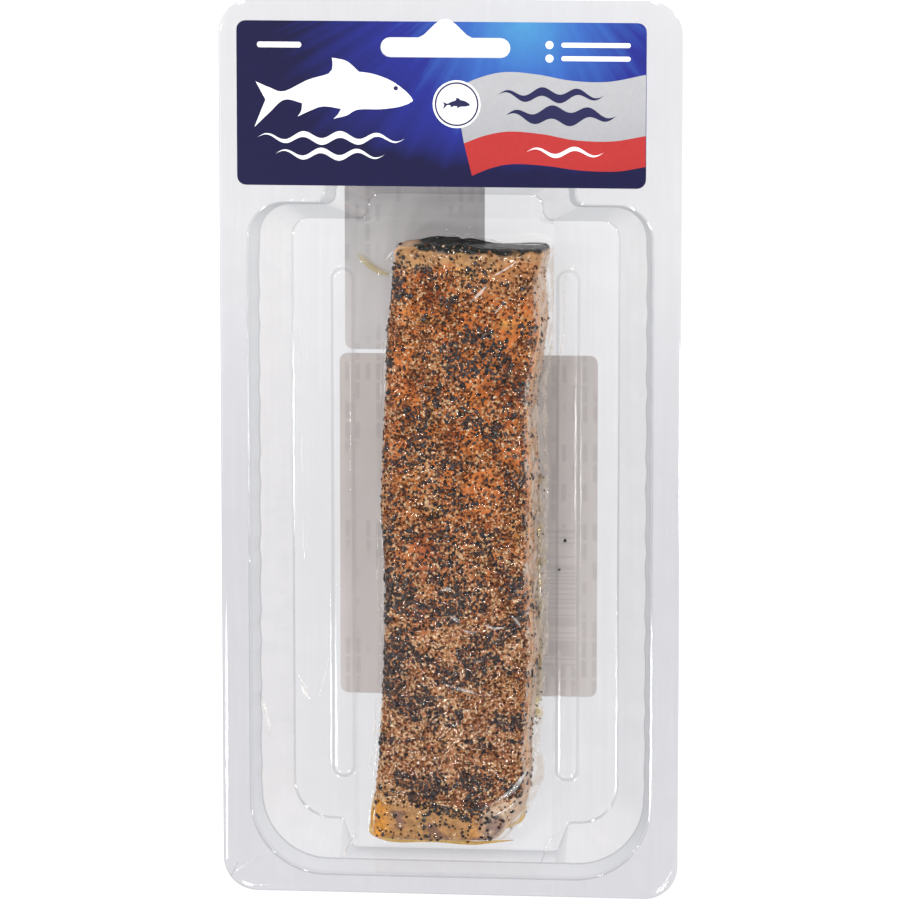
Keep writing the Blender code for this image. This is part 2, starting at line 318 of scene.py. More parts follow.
class Graph:
    """A node tree with short calls to place and join its nodes."""

    def __init__(self, tree: bpy.types.NodeTree) -> None:
        """Takes over an empty tree."""
        self.tree = tree

    def feed(self, socket: Socket, value: object) -> None:
        """Joins a socket to another, or sets its own value."""
        if isinstance(value, Socket):
            self.tree.links.new(value, socket)
        elif isinstance(value, tuple) and len(value) == 3 and socket.type == "RGBA":
            socket.default_value = (*value, 1)
        else:
            socket.default_value = value

    def add(self, kind: str, inputs: Optional[dict] = None, **settings: object) -> bpy.types.Node:
        """Places a shader node.

        Args:
            kind: The node's type after the word ShaderNode.
            inputs: Values or sockets by input name or number.
            settings: The node's own options.

        Returns:
            The node.
        """
        node = self.tree.nodes.new("ShaderNode" + kind)
        for name, value in settings.items():
            setattr(node, name, value)
        for name, value in (inputs or {}).items():
            self.feed(node.inputs[name], value)
        return node

    def math(self, operation: str, *values: object, clamp: bool = False) -> Socket:
        """The result of a Math node on up to three values."""
        node = self.add("Math", dict(enumerate(values)), operation=operation, use_clamp=clamp)
        return node.outputs[0]

    def product(self, *values: object) -> Socket:
        """All the values multiplied, from first to last."""
        result = values[0]
        for value in values[1:]:
            result = self.math("MULTIPLY", result, value)
        return result

    def blend(self, amount: object, first: object, second: object) -> Socket:
        """A mix of two colours."""
        return self.add("Mix", {0: amount, 6: first, 7: second}, data_type="RGBA").outputs[2]

    def scaled(self, vector: object, factor: object) -> Socket:
        """A vector or colour times a number."""
        return self.add("VectorMath", {0: vector, "Scale": factor}, operation="SCALE").outputs[0]

    def principled(self, inputs: dict) -> Socket:
        """A Principled shader with these inputs."""
        return self.add("BsdfPrincipled", inputs).outputs[0]

    def either(self, amount: object, first: Socket, second: Socket) -> Socket:
        """A mix of two shaders."""
        return self.add("MixShader", {0: amount, 1: first, 2: second}).outputs[0]

    def relief(self, height: Socket, strength: float, distance: float) -> Socket:
        """The surface's direction with small bumps on it."""
        return self.add("Bump", {"Strength": strength, "Distance": distance, "Height": height}).outputs[0]

    def remap(self, value: object, low: float, high: float, first: float = 0.0, last: float = 1.0) -> Socket:
        """A value carried from one range to another, with soft ends."""
        inputs = {"Value": value, "From Min": low, "From Max": high, "To Min": first, "To Max": last}
        return self.add("MapRange", inputs, interpolation_type="SMOOTHSTEP").outputs[0]

    def ramp(self, value: object, *stops: tuple[float, Colour]) -> Socket:
        """A colour that runs through the stops as the value rises."""
        node = self.add("ValToRGB", {0: value})
        elements = node.color_ramp.elements
        while len(elements) < len(stops):
            elements.new(0.5)
        for element, (place, colour) in zip(elements, stops):
            element.position = place
            element.color = (*colour, 1)
        return node.outputs[0]

    def noise(self, place: object, scale: float, detail: float = 3.0, rough: float = 0.5) -> Socket:
        """Soft noise from 0 to 1."""
        inputs = {"Vector": place, "Scale": scale, "Detail": detail, "Roughness": rough}
        return self.add("TexNoise", inputs).outputs[0]

    def place(self) -> Socket:
        """The point on the object, in metres in the frame."""
        return self.add("TexCoord").outputs["Object"]

    def facing(self, **inputs: object) -> Socket:
        """How far the surface turns away from the view, from 0 to 1."""
        return self.add("LayerWeight", {"Blend": 0.5, **inputs}).outputs["Facing"]

    def upward(self) -> Socket:
        """The height part of the surface's direction."""
        return self.split(self.add("NewGeometry").outputs["Normal"])[2]

    def stored(self, name: str) -> Socket:
        """A value that the mesh holds at its points."""
        return self.add("Attribute", attribute_name=name).outputs["Fac"]

    def split(self, vector: object) -> tuple[Socket, ...]:
        """The three parts of a vector."""
        return tuple(self.add("SeparateXYZ", {0: vector}).outputs)

    def shadowless(self, shader: Socket, share: float = 1.0) -> Socket:
        """A shader that lets a share of the light through where it would cast a shadow."""
        amount = self.product(self.add("LightPath").outputs["Is Shadow Ray"], share)
        return self.either(amount, shader, self.add("BsdfTransparent").outputs[0])

    def mottled(self, colour: object, scale: float, amount: float) -> bpy.types.Node:
        """The colour in lighter and darker patches."""
        return self.group(Effect.MOTTLE, Color=colour, Scale=scale, Amount=amount)

    def group(self, effect: "Effect", **inputs: object) -> bpy.types.Node:
        """Places a shared effect with its own values."""
        node = self.add("Group", node_tree=effect.tree())
        for name, value in inputs.items():
            self.feed(node.inputs[name.replace("_", " ")], value)
        return node


class Effect(Enum):
    """Effects that several finishes share, each a node group that is built once."""

    MOTTLE = "uneven tone"
    RIPPLE = "drawn sheet ripple"
    PRINT_LINES = "rows of small bars"

    def tree(self) -> bpy.types.NodeTree:
        """The effect's node group, built on its first use."""
        made = bpy.data.node_groups.get(self.value)
        if made is None:
            made = bpy.data.node_groups.new(self.value, "ShaderNodeTree")
            {
                Effect.MOTTLE: build_mottle,
                Effect.RIPPLE: build_ripple,
                Effect.PRINT_LINES: build_print_lines,
            }[self](made)
        return made


def group_sockets(
    tree: bpy.types.NodeTree, inputs: dict[str, object], outputs: dict[str, str]
) -> tuple[Graph, dict, dict]:
    """Gives a node group its sockets.

    Args:
        tree: The node group.
        inputs: Each input's name with its default, a number or a colour.
        outputs: Each output's name with its type, Float or Color.

    Returns:
        The graph, its inputs by name, and the sockets that its results go to by name.
    """
    for name, value in inputs.items():
        kind = "NodeSocketFloat" if isinstance(value, float) else "NodeSocketColor"
        socket = tree.interface.new_socket(name, in_out="INPUT", socket_type=kind)
        socket.default_value = value if isinstance(value, float) else (*value, 1)
    for name, kind in outputs.items():
        tree.interface.new_socket(name, in_out="OUTPUT", socket_type="NodeSocket" + kind)
    start, end = tree.nodes.new("NodeGroupInput"), tree.nodes.new("NodeGroupOutput")
    return Graph(tree), {s.name: s for s in start.outputs}, {s.name: s for s in end.inputs}


def build_mottle(tree: bpy.types.NodeTree) -> None:
    """Patches of a lighter and a darker tone of one colour, with a mask of the patches."""
    graph, given, results = group_sockets(
        tree, {"Color": (0.5, 0.5, 0.5), "Scale": 200.0, "Amount": 0.3}, {"Color": "Color", "Mask": "Float"}
    )
    noise = graph.add("TexNoise", {"Vector": graph.place(), "Scale": given["Scale"], "Detail": 4.0})
    mask = graph.remap(noise.outputs[0], 0.3, 0.7)
    tone = graph.math("MULTIPLY_ADD", graph.math("SUBTRACT", mask, 0.5), given["Amount"], 1.0)
    graph.feed(results["Color"], graph.scaled(given["Color"], tone))
    graph.feed(results["Mask"], mask)


def build_ripple(tree: bpy.types.NodeTree) -> None:
    """Height of the fine lines along a drawn sheet, and of its soft dents."""
    graph, given, results = group_sockets(tree, {"Lines": 0.5, "Dents": 0.5}, {"Height": "Float"})
    place = graph.place()
    along = graph.add("VectorMath", {0: place, 1: (1.0, 0.02, 0.3)}, operation="MULTIPLY").outputs[0]
    lines = graph.noise(along, 900.0, 2.0)
    dents = graph.noise(place, 130.0, 2.0)
    height = graph.math("MULTIPLY_ADD", lines, given["Lines"], graph.product(dents, given["Dents"]))
    graph.feed(results["Height"], height)


def build_print_lines(tree: bpy.types.NodeTree) -> None:
    """A mask of rows of short bars, as small print looks from afar, running along Y."""
    graph, given, results = group_sockets(tree, {"Pitch": 0.0024, "Word": 0.004, "Fill": 0.55}, {"Mask": "Float"})
    x, y, _ = graph.split(graph.place())
    row = graph.math("DIVIDE", x, given["Pitch"])
    number = graph.math("FLOOR", row)
    within = graph.math("FRACT", row)
    bar = graph.product(graph.remap(within, 0.2, 0.3), graph.remap(within, 0.75, 0.65))
    along = graph.math("DIVIDE", y, given["Word"])
    cell = graph.add("CombineXYZ", {0: number, 1: graph.math("FLOOR", along)}).outputs[0]
    chance = graph.add("TexWhiteNoise", {0: cell}, noise_dimensions="2D").outputs[0]
    kept = graph.math("LESS_THAN", chance, given["Fill"])
    gap = graph.remap(graph.math("FRACT", along), 0.1, 0.2)
    graph.feed(results["Mask"], graph.product(bar, graph.product(kept, gap)))


def new_material(name: str) -> tuple[Material, Graph, Socket]:
    """An empty material.

    Args:
        name: Its name.

    Returns:
        The material, its graph, and the socket that takes its surface.
    """
    made = bpy.data.materials.new(name)
    made.use_nodes = True
    made.node_tree.nodes.clear()
    graph = Graph(made.node_tree)
    return made, graph, graph.add("OutputMaterial").inputs["Surface"]


# Finishes


@dataclass(frozen=True)
class Finish:
    """A finish, which is made into one material."""

    name: str

    def shader(self, graph: Graph) -> Socket:
        """The finish's shader."""
        raise NotImplementedError

    def material(self) -> Material:
        """The finish as a material."""
        made, graph, surface = new_material(self.name)
        graph.feed(surface, self.shader(graph))
        return made


@dataclass(frozen=True)
class ClearSheet(Finish):
    """Clear glossy plastic sheet, which takes a little light away and more where it is seen edge on. Its tint also
    fades towards white along +Y, towards the hanging end: painted light.
    """

    flat_tint: Colour
    edge_tint: Colour
    thick_tint: Colour
    thick_height: float
    roughness: float = 0.06
    mirror: float = 0.05
    grazing: float = 0.16
    edge_power: float = 1.55
    lines: float = 0.4
    dents: float = 0.4
    bump: float = 0.25
    streaks: float = 0.02
    # Dull whitish layer: hazed film, and on the creases partly a painted highlight
    haze: float = 0.0
    side_haze: float = 0.0
    haze_colour: Colour = (0.60, 0.50, 0.42)
    # How far the tint fades towards white at the hanging end: painted light, for light that falls brighter there
    lift: float = 0.5

    def shader(self, graph: Graph) -> Socket:
        """The finish's shader."""
        _, along, height = graph.split(graph.place())
        ripple = graph.group(Effect.RIPPLE, Lines=self.lines, Dents=self.dents).outputs["Height"]
        bump = graph.relief(ripple, self.bump, 0.2 * MM)
        facing = graph.facing()
        edge_on = graph.math("POWER", facing, self.edge_power)
        thick = graph.remap(height, self.thick_height - 1.5 * MM, self.thick_height - 0.2 * MM)
        flat = graph.blend(thick, self.flat_tint, self.thick_tint)
        # Painted light: the sheet is made clearer towards the hanging end
        upper = graph.math("POWER", graph.remap(along, -45 * MM, 90 * MM), 1.4)
        flat = graph.blend(graph.product(upper, self.lift), flat, (1.0, 1.0, 1.0))
        streaks = graph.remap(ripple, 0.3, 0.62, 1.0 - self.streaks, 1.0)
        flat = graph.scaled(flat, streaks)
        tint = graph.blend(edge_on, flat, self.edge_tint)
        clear = graph.add("BsdfTransparent", {"Color": tint}).outputs[0]
        if self.haze:
            dull = graph.principled({"Base Color": self.haze_colour, "Roughness": 0.6})
            patches = graph.noise(graph.place(), 260.0, 4.0)
            web = graph.stored("web")
            most = graph.remap(web, 0.0, 1.0, self.haze, self.side_haze)
            amount = graph.product(graph.remap(patches, 0.3, 0.7), most)
            clear = graph.either(amount, clear, dull)
        rippled = graph.facing(Normal=bump)
        gloss = graph.math("MULTIPLY_ADD", graph.math("POWER", rippled, 5.0), self.grazing, self.mirror)
        shine = graph.blend(edge_on, (1.0, 1.0, 1.0), (0.3, 0.3, 0.3))
        mirror = graph.principled(
            {"Base Color": shine, "Metallic": 1.0, "Roughness": self.roughness, "Normal": bump}
        )
        seen = graph.either(gloss, clear, mirror)
        return graph.shadowless(seen)


@dataclass(frozen=True)
class Flesh(Finish):
    """Moist smoked salmon: orange to red-brown on top, tan at both ends, dark skin at its back end and below."""

    back: float
    front: float
    orange: Colour = (0.455, 0.143, 0.036)
    gold: Colour = (0.49, 0.245, 0.065)
    red_brown: Colour = (0.25, 0.055, 0.016)
    brown: Colour = (0.24, 0.10, 0.055)
    tan: Colour = (0.335, 0.18, 0.078)
    web: Colour = (0.46, 0.34, 0.25)
    amber: Colour = (0.52, 0.22, 0.035)
    bruise: Colour = (0.12, 0.07, 0.07)
    side: Colour = (0.62, 0.38, 0.21)
    skin: Colour = (0.012, 0.013, 0.011)
    # Silvery scale flecks on the skin, lightened further as painted glints
    silver: Colour = (0.42, 0.43, 0.40)
    dust: tuple[Colour, Colour, Colour] = ((0.030, 0.021, 0.016), (0.13, 0.055, 0.033), (0.46, 0.29, 0.16))
    tan_from_back: Point = (5 * MM, 3.4 * MM)
    glaze_from_back: Point = (14 * MM, 8 * MM)
    tan_from_front: Point = (11 * MM, 7.5 * MM)
    corner_line: Point = (94.3 * MM, 96.3 * MM)
    skin_from_back: Point = (1.7 * MM, 0.9 * MM)

    def shader(self, graph: Graph) -> Socket:
        """The finish's shader."""
        place = graph.place()
        x, y, _ = graph.split(place)
        broad = graph.noise(place, 95.0, 3.0)
        fine = graph.noise(place, 420.0, 4.0, 0.6)
        colour = graph.ramp(broad, (0.34, self.red_brown), (0.48, self.orange), (0.60, self.orange), (0.70, self.gold))
        colour = graph.blend(graph.remap(fine, 0.35, 0.75, 0.0, 0.55), colour, self.red_brown)
        colour = graph.blend(graph.remap(y, 0.0, -60 * MM, 0.0, 0.6), colour, self.brown)
        wobble = graph.math("MULTIPLY_ADD", graph.noise(place, 160.0, 3.0), 8 * MM, -4 * MM)
        along = graph.math("ADD", y, wobble)
        near_back = graph.remap(along, *(self.back - far for far in self.tan_from_back))
        glaze = graph.remap(along, *(self.back - far for far in self.glaze_from_back))
        glaze = graph.product(glaze, graph.remap(x, 1 * MM, 7 * MM, 0.0, 0.6))
        near_back = graph.math("MAXIMUM", near_back, glaze)
        slanted = graph.math("MULTIPLY_ADD", x, 0.2, along)
        near_front = graph.remap(slanted, *(self.front + far for far in self.tan_from_front))
        colour = graph.blend(near_back, colour, self.tan)
        edges = graph.math("MAXIMUM", graph.remap(x, -14 * MM, -18.5 * MM), graph.remap(x, 3 * MM, 8 * MM, 0.0, 0.8))
        colour = graph.blend(near_front, colour, graph.blend(edges, self.tan, self.amber))
        beyond = graph.remap(graph.math("MULTIPLY_ADD", x, 0.5, graph.product(y, -1.0)), *self.corner_line)
        corner = graph.product(beyond, graph.remap(x, 5 * MM, 10 * MM))
        colour = graph.blend(corner, colour, self.web)
        bruises = graph.product(graph.remap(graph.noise(place, 210.0, 2.0), 0.56, 0.66, 0.0, 0.7), near_front)
        colour = graph.blend(bruises, colour, self.bruise)
        normal_z = graph.upward()
        wall = graph.remap(normal_z, 0.65, 0.2)
        colour = graph.blend(graph.product(wall, 0.75), colour, self.side)
        # Skin flecks: silvery scales, lightened as painted glints
        flecks_and_glints = graph.remap(graph.noise(place, 1100.0, 2.0), 0.66, 0.7)
        skin = graph.blend(flecks_and_glints, self.skin, self.silver)
        frayed = graph.math("MULTIPLY_ADD", graph.noise(place, 300.0, 3.0), 3.4 * MM, -1.7 * MM)
        ragged = graph.math("ADD", graph.math("ADD", y, frayed), graph.remap(x, -13 * MM, -3 * MM, -2.0 * MM, 0.2 * MM))
        skin_mask = graph.remap(ragged, *(self.back - far for far in self.skin_from_back))
        skin_mask = graph.math("MAXIMUM", skin_mask, graph.remap(normal_z, -0.4, -0.8))
        colour = graph.blend(skin_mask, colour, skin)
        tone = graph.mottled(colour, 700.0, 0.5)
        cover = graph.stored("cover")
        cells = graph.add("TexVoronoi", {"Vector": place, "Scale": 1250.0})
        pick = graph.add("SeparateColor", {0: cells.outputs["Color"]}).outputs
        dark, mid, light = self.dust
        speck = graph.ramp(pick[0], (0.0, dark), (0.3, dark), (0.36, mid), (0.6, mid), (0.66, light))
        kept = graph.math("LESS_THAN", pick[1], graph.product(cover, 0.95))
        core = graph.remap(cells.outputs["Distance"], 0.56, 0.46)
        dust = graph.product(kept, core)
        tone_colour = graph.blend(dust, tone.outputs["Color"], speck)
        height = graph.math("MULTIPLY_ADD", fine, 0.6, graph.product(dust, 0.8))
        bump = graph.relief(height, 0.6, 0.25 * MM)
        return graph.principled(
            {
                "Base Color": tone_colour,
                "Roughness": graph.remap(fine, 0.3, 0.7, 0.28, 0.5),
                "Normal": bump,
                "Subsurface Weight": 0.15,
                "Subsurface Radius": (0.8 * MM, 0.35 * MM, 0.15 * MM),
                "Subsurface Scale": 1.0,
                "Specular IOR Level": 0.08,
                "Coat Weight": 0.08,
                "Coat Roughness": 0.12,
            }
        )


@dataclass(frozen=True)
class Pepper(Finish):
    """Cracked pepper of one kind, each grain a little lighter or darker than the next."""

    dark: Colour
    mid: Colour
    light: Colour
    shine: float = 0.3

    def shader(self, graph: Graph) -> Socket:
        """The finish's shader."""
        share = graph.add("NewGeometry").outputs["Random Per Island"]
        colour = graph.ramp(share, (0.0, self.dark), (0.55, self.mid), (1.0, self.light))
        tone = graph.mottled(colour, 2200.0, 0.7)
        bump = graph.relief(tone.outputs["Mask"], 0.5, 0.1 * MM)
        return graph.principled(
            {
                "Base Color": tone.outputs["Color"],
                "Roughness": graph.remap(tone.outputs["Mask"], 0.0, 1.0, 0.35, 0.6),
                "Normal": bump,
                "Specular IOR Level": 0.05,
                "Coat Weight": self.shine,
                "Coat Roughness": 0.27,
            }
        )


@dataclass(frozen=True)
class Ink(Finish):
    """Satin print in one colour, a little lighter towards its top edge."""

    low: Colour
    high: Colour
    foot: float
    top: float
    roughness: float = 0.35

    def shader(self, graph: Graph) -> Socket:
        """The finish's shader."""
        place = graph.place()
        _, y, _ = graph.split(place)
        wave = graph.math("MULTIPLY_ADD", graph.noise(place, 45.0, 1.0), 8 * MM, y)
        colour = graph.blend(graph.remap(wave, self.foot, self.top), self.low, self.high)
        tone = graph.mottled(colour, 900.0, 0.05).outputs["Color"]
        inputs = {"Base Color": tone, "Roughness": self.roughness, "Specular IOR Level": 0.3}
        return graph.shadowless(graph.principled(inputs), 0.9)


@dataclass(frozen=True)
class WaterPrint(Finish):
    """Blue print with pale rays from its top edge, as light falls through water."""

    glow_x: float
    glow_y: float
    reach: float
    glow: Colour = (0.072, 0.275, 0.52)
    bright: Colour = (0.040, 0.12, 0.42)
    blue: Colour = (0.020, 0.026, 0.225)
    navy: Colour = (0.0105, 0.0098, 0.047)

    def shader(self, graph: Graph) -> Socket:
        """The finish's shader."""
        place = graph.place()
        x, y, _ = graph.split(place)
        across = graph.math("SUBTRACT", x, self.glow_x)
        down = graph.math("SUBTRACT", self.glow_y, y)
        far = graph.math("SQRT", graph.math("ADD", graph.math("POWER", across, 2.0), graph.math("POWER", down, 2.0)))
        slant = graph.math("DIVIDE", across, graph.math("ADD", down, 22 * MM))
        fan = graph.add("CombineXYZ", {0: slant}).outputs[0]
        rays = graph.math("MULTIPLY_ADD", graph.noise(fan, 7.0, 3.0), 0.5, -0.25)
        rays = graph.product(rays, graph.remap(far, 0.0, self.reach * 0.5))
        level = graph.math("SUBTRACT", graph.math("DIVIDE", far, self.reach), rays)
        level = graph.math("ADD", level, graph.remap(down, 26 * MM, 40 * MM, 0.0, 0.4))
        colour = graph.ramp(level, (0.0, self.glow), (0.22, self.bright), (0.48, self.blue), (0.95, self.navy))
        tone = graph.mottled(colour, 500.0, 0.06).outputs["Color"]
        inputs = {"Base Color": tone, "Roughness": 0.32, "Specular IOR Level": 0.25}
        return graph.shadowless(graph.principled(inputs), 0.9)


@dataclass(frozen=True)
class LabelPaper(Finish):
    """Paper label: its print faces down, and shows through faintly on the side that faces the food. That side is
    painted greyer than the paper's white as painted shade, and darker towards +Y as a painted shadow.
    """

    # The food-facing side's colour: the paper's white made greyer as painted shade
    back: Colour
    front: Colour
    ink: Colour
    bars: tuple[float, float, float, float]
    # Where and how far the food-facing side darkens towards +Y: a painted shadow
    painted_shadow_from: float
    painted_shadow_to: float
    painted_shadow_level: float

    def shader(self, graph: Graph) -> Socket:
        """The finish's shader."""
        place = graph.place()
        x, y, _ = graph.split(place)
        lines = graph.group(Effect.PRINT_LINES, Pitch=2.6 * MM, Word=5 * MM, Fill=0.6).outputs["Mask"]
        patches = graph.remap(graph.noise(place, 40.0, 1.0), 0.45, 0.5)
        lines = graph.product(lines, patches)
        column = graph.math("FLOOR", graph.math("DIVIDE", y, 0.45 * MM))
        chance = graph.add("TexWhiteNoise", {1: column}, noise_dimensions="1D").outputs[0]
        bars = graph.math("GREATER_THAN", chance, 0.5)
        left, right, foot, top = self.bars
        inside = graph.product(
            graph.math("GREATER_THAN", x, left),
            graph.math("LESS_THAN", x, right),
            graph.math("GREATER_THAN", y, foot),
            graph.math("LESS_THAN", y, top),
        )
        block = graph.product(bars, inside)
        lines = graph.product(lines, graph.math("SUBTRACT", 1.0, inside))
        print_mask = graph.math("ADD", lines, block, clamp=True)
        up = graph.remap(graph.upward(), -0.1, 0.1)
        # Painted shadow: the food-facing side darkens towards +Y
        level = graph.remap(y, self.painted_shadow_from, self.painted_shadow_to, 1.0, self.painted_shadow_level)
        back = graph.scaled(self.back, level)
        # Painted shade: the side that faces up takes the greyer colour, the side that faces down the paper's white
        paper = graph.blend(up, self.front, back)
        strength = graph.math("MULTIPLY_ADD", up, -0.72, 0.85)
        colour = graph.blend(graph.product(print_mask, strength), paper, self.ink)
        tone = graph.mottled(colour, 80.0, 0.05).outputs["Color"]
        return graph.principled({"Base Color": tone, "Roughness": 0.55})


@dataclass(frozen=True)
class ClearLiquid(Finish):
    """Clear coloured juice or oil."""

    tint: Colour
    body: Colour
    cloud: float = 0.35
    mirror: float = 0.05

    def shader(self, graph: Graph) -> Socket:
        """The finish's shader."""
        facing = graph.facing()
        deep = tuple(c**2.2 for c in self.tint)
        tint = graph.blend(facing, self.tint, deep)
        clear = graph.add("BsdfTransparent", {"Color": tint}).outputs[0]
        dull = graph.principled({"Base Color": self.body, "Roughness": 0.3})
        patches = graph.product(graph.remap(graph.noise(graph.place(), 400.0), 0.3, 0.7), self.cloud * 2)
        clear = graph.either(patches, clear, dull)
        gloss = graph.math("MULTIPLY_ADD", graph.math("POWER", facing, 4.0), 0.9, self.mirror)
        mirror = graph.principled({"Base Color": (1.0, 1.0, 1.0), "Metallic": 1.0, "Roughness": 0.04})
        return graph.either(gloss, clear, mirror)


# The pack


@dataclass(frozen=True)
class Pack:
    """Sizes of the pack, the outer ones taken from the frame."""

    half_width: float
    half_length: float
    floor: float
    flange: float
    corner: float = 8.5 * MM
    pocket_half: float = 48.3 * MM
    pocket_foot: float = -105.4 * MM
    shoulder: float = 61 * MM
    foot_corner: float = 17 * MM
    shoulder_corner: float = 8 * MM
    neck_half: float = 29.2 * MM
    neck_top: float = 67.4 * MM
    neck_foot_corner: float = 2.6 * MM
    neck_top_corner: float = 3.2 * MM
    foot_slope: float = 1.2
    shoulder_slope: float = 0.6
    bay_half: float = 25.5 * MM
    bay_inset: float = 1.4 * MM
    scallop_depth: float = 0.75 * MM
    scallop_pitch: float = 20 * MM
    scallop_reach: float = 1.6 * MM
    scallop_ends: float = 6 * MM
    bay_ends: float = 3.5 * MM
    slot_middle: float = -1 * MM
    slot_foot: float = 98.2 * MM
    slot_width: float = 32 * MM
    slot_height: float = 4.9 * MM
    dome_height: float = 4.6 * MM
    dome_half: float = 6.6 * MM
    corner_steps: tuple[int, ...] = (22, 22, 12, 7, 7, 7, 7, 12)
    run_pieces: tuple[int, ...] = (46, 88, 6, 3, 24, 3, 6, 88)

    def edge(self, inset: float = 0.0) -> list[Vector]:
        """The die-cut outline of tray and film, moved in."""
        return rounded_rectangle(
            -self.half_width, self.half_width, -self.half_length, self.half_length, self.corner, 14, inset
        )

    def slot(self) -> list[Vector]:
        """The hanging slot, with a dome over its middle."""
        steps = 8
        half, top = self.slot_width / 2, self.slot_foot + self.slot_height
        radius = self.slot_height / 2 - 0.02 * MM
        slot = rounded_rectangle(self.slot_middle - half, self.slot_middle + half, self.slot_foot, top, radius, steps)
        dome = []
        for k in range(21):
            across = self.dome_half * (1 - k / 10)
            rise = self.dome_height * ((1 + math.cos(math.pi * across / self.dome_half)) / 2) ** 0.8
            dome.append(Vector((self.slot_middle + across, top + rise)))
        third = 3 * (steps + 1)
        return slot[:third] + dome + slot[third:]

    def pocket(self, way: float) -> list[Vector]:
        """The pocket's outline.

        Args:
            way: How far in from the foot of the steep wall.

        Returns:
            The points, always in the same number.
        """
        side, neck = self.pocket_half - way, self.neck_half - way
        foot = self.pocket_foot + way * self.foot_slope
        shoulder = self.shoulder - way * self.shoulder_slope
        top = self.neck_top - way * self.shoulder_slope
        low, high = self.foot_corner - way, self.shoulder_corner - way / 2
        corners = (
            (-side, foot, low),
            (side, foot, low),
            (side, shoulder, high),
            (neck, shoulder, self.neck_foot_corner),
            (neck, top, self.neck_top_corner),
            (-neck, top, self.neck_top_corner),
            (-neck, shoulder, self.neck_foot_corner),
            (-side, shoulder, high),
        )
        points = rounded_outline(corners, self.corner_steps, self.run_pieces)
        near_foot_of_wall = math.exp(-((way / self.scallop_reach) ** 2))
        limit = self.pocket_foot + self.bay_inset
        for p in points:
            if abs(abs(p.x) - side) < 1e-6 and foot + low < p.y < shoulder - high:
                ends = min(1, (p.y - foot - low) / self.scallop_ends, (shoulder - high - p.y) / self.scallop_ends)
                bulge = abs(math.sin(math.pi * (p.y - self.pocket_foot) / self.scallop_pitch)) - 0.6
                p.x += math.copysign(self.scallop_depth * bulge * near_foot_of_wall * ends, p.x)
            if abs(p.y - foot) < 1e-6 and p.y > limit:
                share = float(smooth_step(self.bay_half + self.bay_ends, self.bay_half, abs(p.x)))
                p.y += (limit - p.y) * share
        return points


@dataclass
class Tray:
    """The clear formed tray: flange, scalloped pocket, ribbed floor and hanging slot."""

    pack: Pack
    curl: float = 0.3 * MM
    sheet: float = 0.5 * MM
    wall_top_out: float = 1.9 * MM
    steep_depth: float = 7 * MM
    slope_in: float = 7.3 * MM
    ease: float = 0.3 * MM
    bend_step: float = 0.2 * MM
    rib_offset: float = 28.3 * MM
    rib_middle: float = -20.7 * MM
    rib_length: float = 130 * MM
    rib_width: float = 5.9 * MM
    rib_corner: float = 2.8 * MM
    rib_height: float = 1.8 * MM
    rib_slope: float = 0.9 * MM
    rib_flat: float = 2.2 * MM
    rib_ease: float = 0.45 * MM
    rim_curl: tuple[Point, ...] = ((2.4, 0.0), (1.5, 0.08), (0.8, 0.3), (0.3, 0.65), (0.0, 1.0))

    def wall(self) -> list[Point]:
        """Steps down the pocket's wall as (way in, height)."""
        flange, floor = self.pack.flange, self.pack.floor
        corners = (
            (-self.wall_top_out - 1 * MM, flange),
            (-self.wall_top_out, flange),
            (0.0, flange - self.steep_depth),
            (self.slope_in, floor),
            (self.slope_in + 1.2 * MM, floor),
        )
        return eased_line(corners, self.ease, 5)

    def rib(self, side: int, inset: float) -> list[Vector]:
        """Outline of the left (-1) or right (1) rib, moved in."""
        middle, half, end = side * self.rib_offset, self.rib_width / 2, self.rib_length / 2
        return rounded_rectangle(
            middle - half, middle + half, self.rib_middle - end, self.rib_middle + end, self.rib_corner, 8, inset
        )

    def ribs(self, bm: EditMesh, level: float, grow: float, apron: float) -> list[list]:
        """Both raised ribs of the floor.

        Args:
            bm: The edit mesh that they are added to.
            level: Height of the floor round them.
            grow: How much wider they are all round.
            apron: How far the floor round them is still part of them.

        Returns:
            The ring of vertices round each rib's foot.
        """
        feet = []
        rise = self.rib_height
        line = eased_line(((-apron, 0.0), (0.0, 0.0), (self.rib_slope, rise), (self.rib_flat, rise)), self.rib_ease)
        for side in (-1, 1):
            rings = [ring(bm, self.rib(side, way - grow), level + height) for way, height in line]
            for first, second in zip(rings, rings[1:]):
                bridge(bm, first, second)
            fill(bm, [rings[-1]])
            feet.append(rings[0])
        return feet

    def build(self, finish: Material, bend_shade: Material) -> Piece:
        """Makes the tray as one drawn sheet.

        Args:
            finish: Its material.
            bend_shade: Material of its tight bends.

        Returns:
            The tray, in place of its node.
        """
        pack = self.pack
        bm = bmesh.new()
        rims = [ring(bm, pack.edge(inset * MM), pack.flange - self.curl * drop) for inset, drop in self.rim_curl]
        rims.append(ring(bm, pack.edge(), pack.flange - self.curl - self.sheet))
        for first, second in zip(rims, rims[1:]):
            bridge(bm, first, second)
        slots = [ring(bm, pack.slot(), pack.flange - drop) for drop in (0.0, self.sheet)]
        bridge(bm, *slots)
        line = self.wall()
        walls = [ring(bm, pack.pocket(way), height) for way, height in line]
        for k, (start, end) in enumerate(zip(line, line[1:])):
            # Faces at tight bends take the second material, a darker tint that is painted shade for the thin dark lines
            # the bends show
            bridge(bm, walls[k], walls[k + 1], int(math.dist(start, end) < self.bend_step))
        fill(bm, [rims[0], slots[0], walls[0]])
        feet = self.ribs(bm, pack.floor, 0.0, 0.8 * MM)
        fill(bm, [walls[-1], *feet])
        face_up(bm)
        piece = bmesh_piece("formed_tray", bm, finish, 40)
        piece.data.materials.append(bend_shade)
        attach(piece, "root")
        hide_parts("tray")
        return piece


# The fillet and its pepper


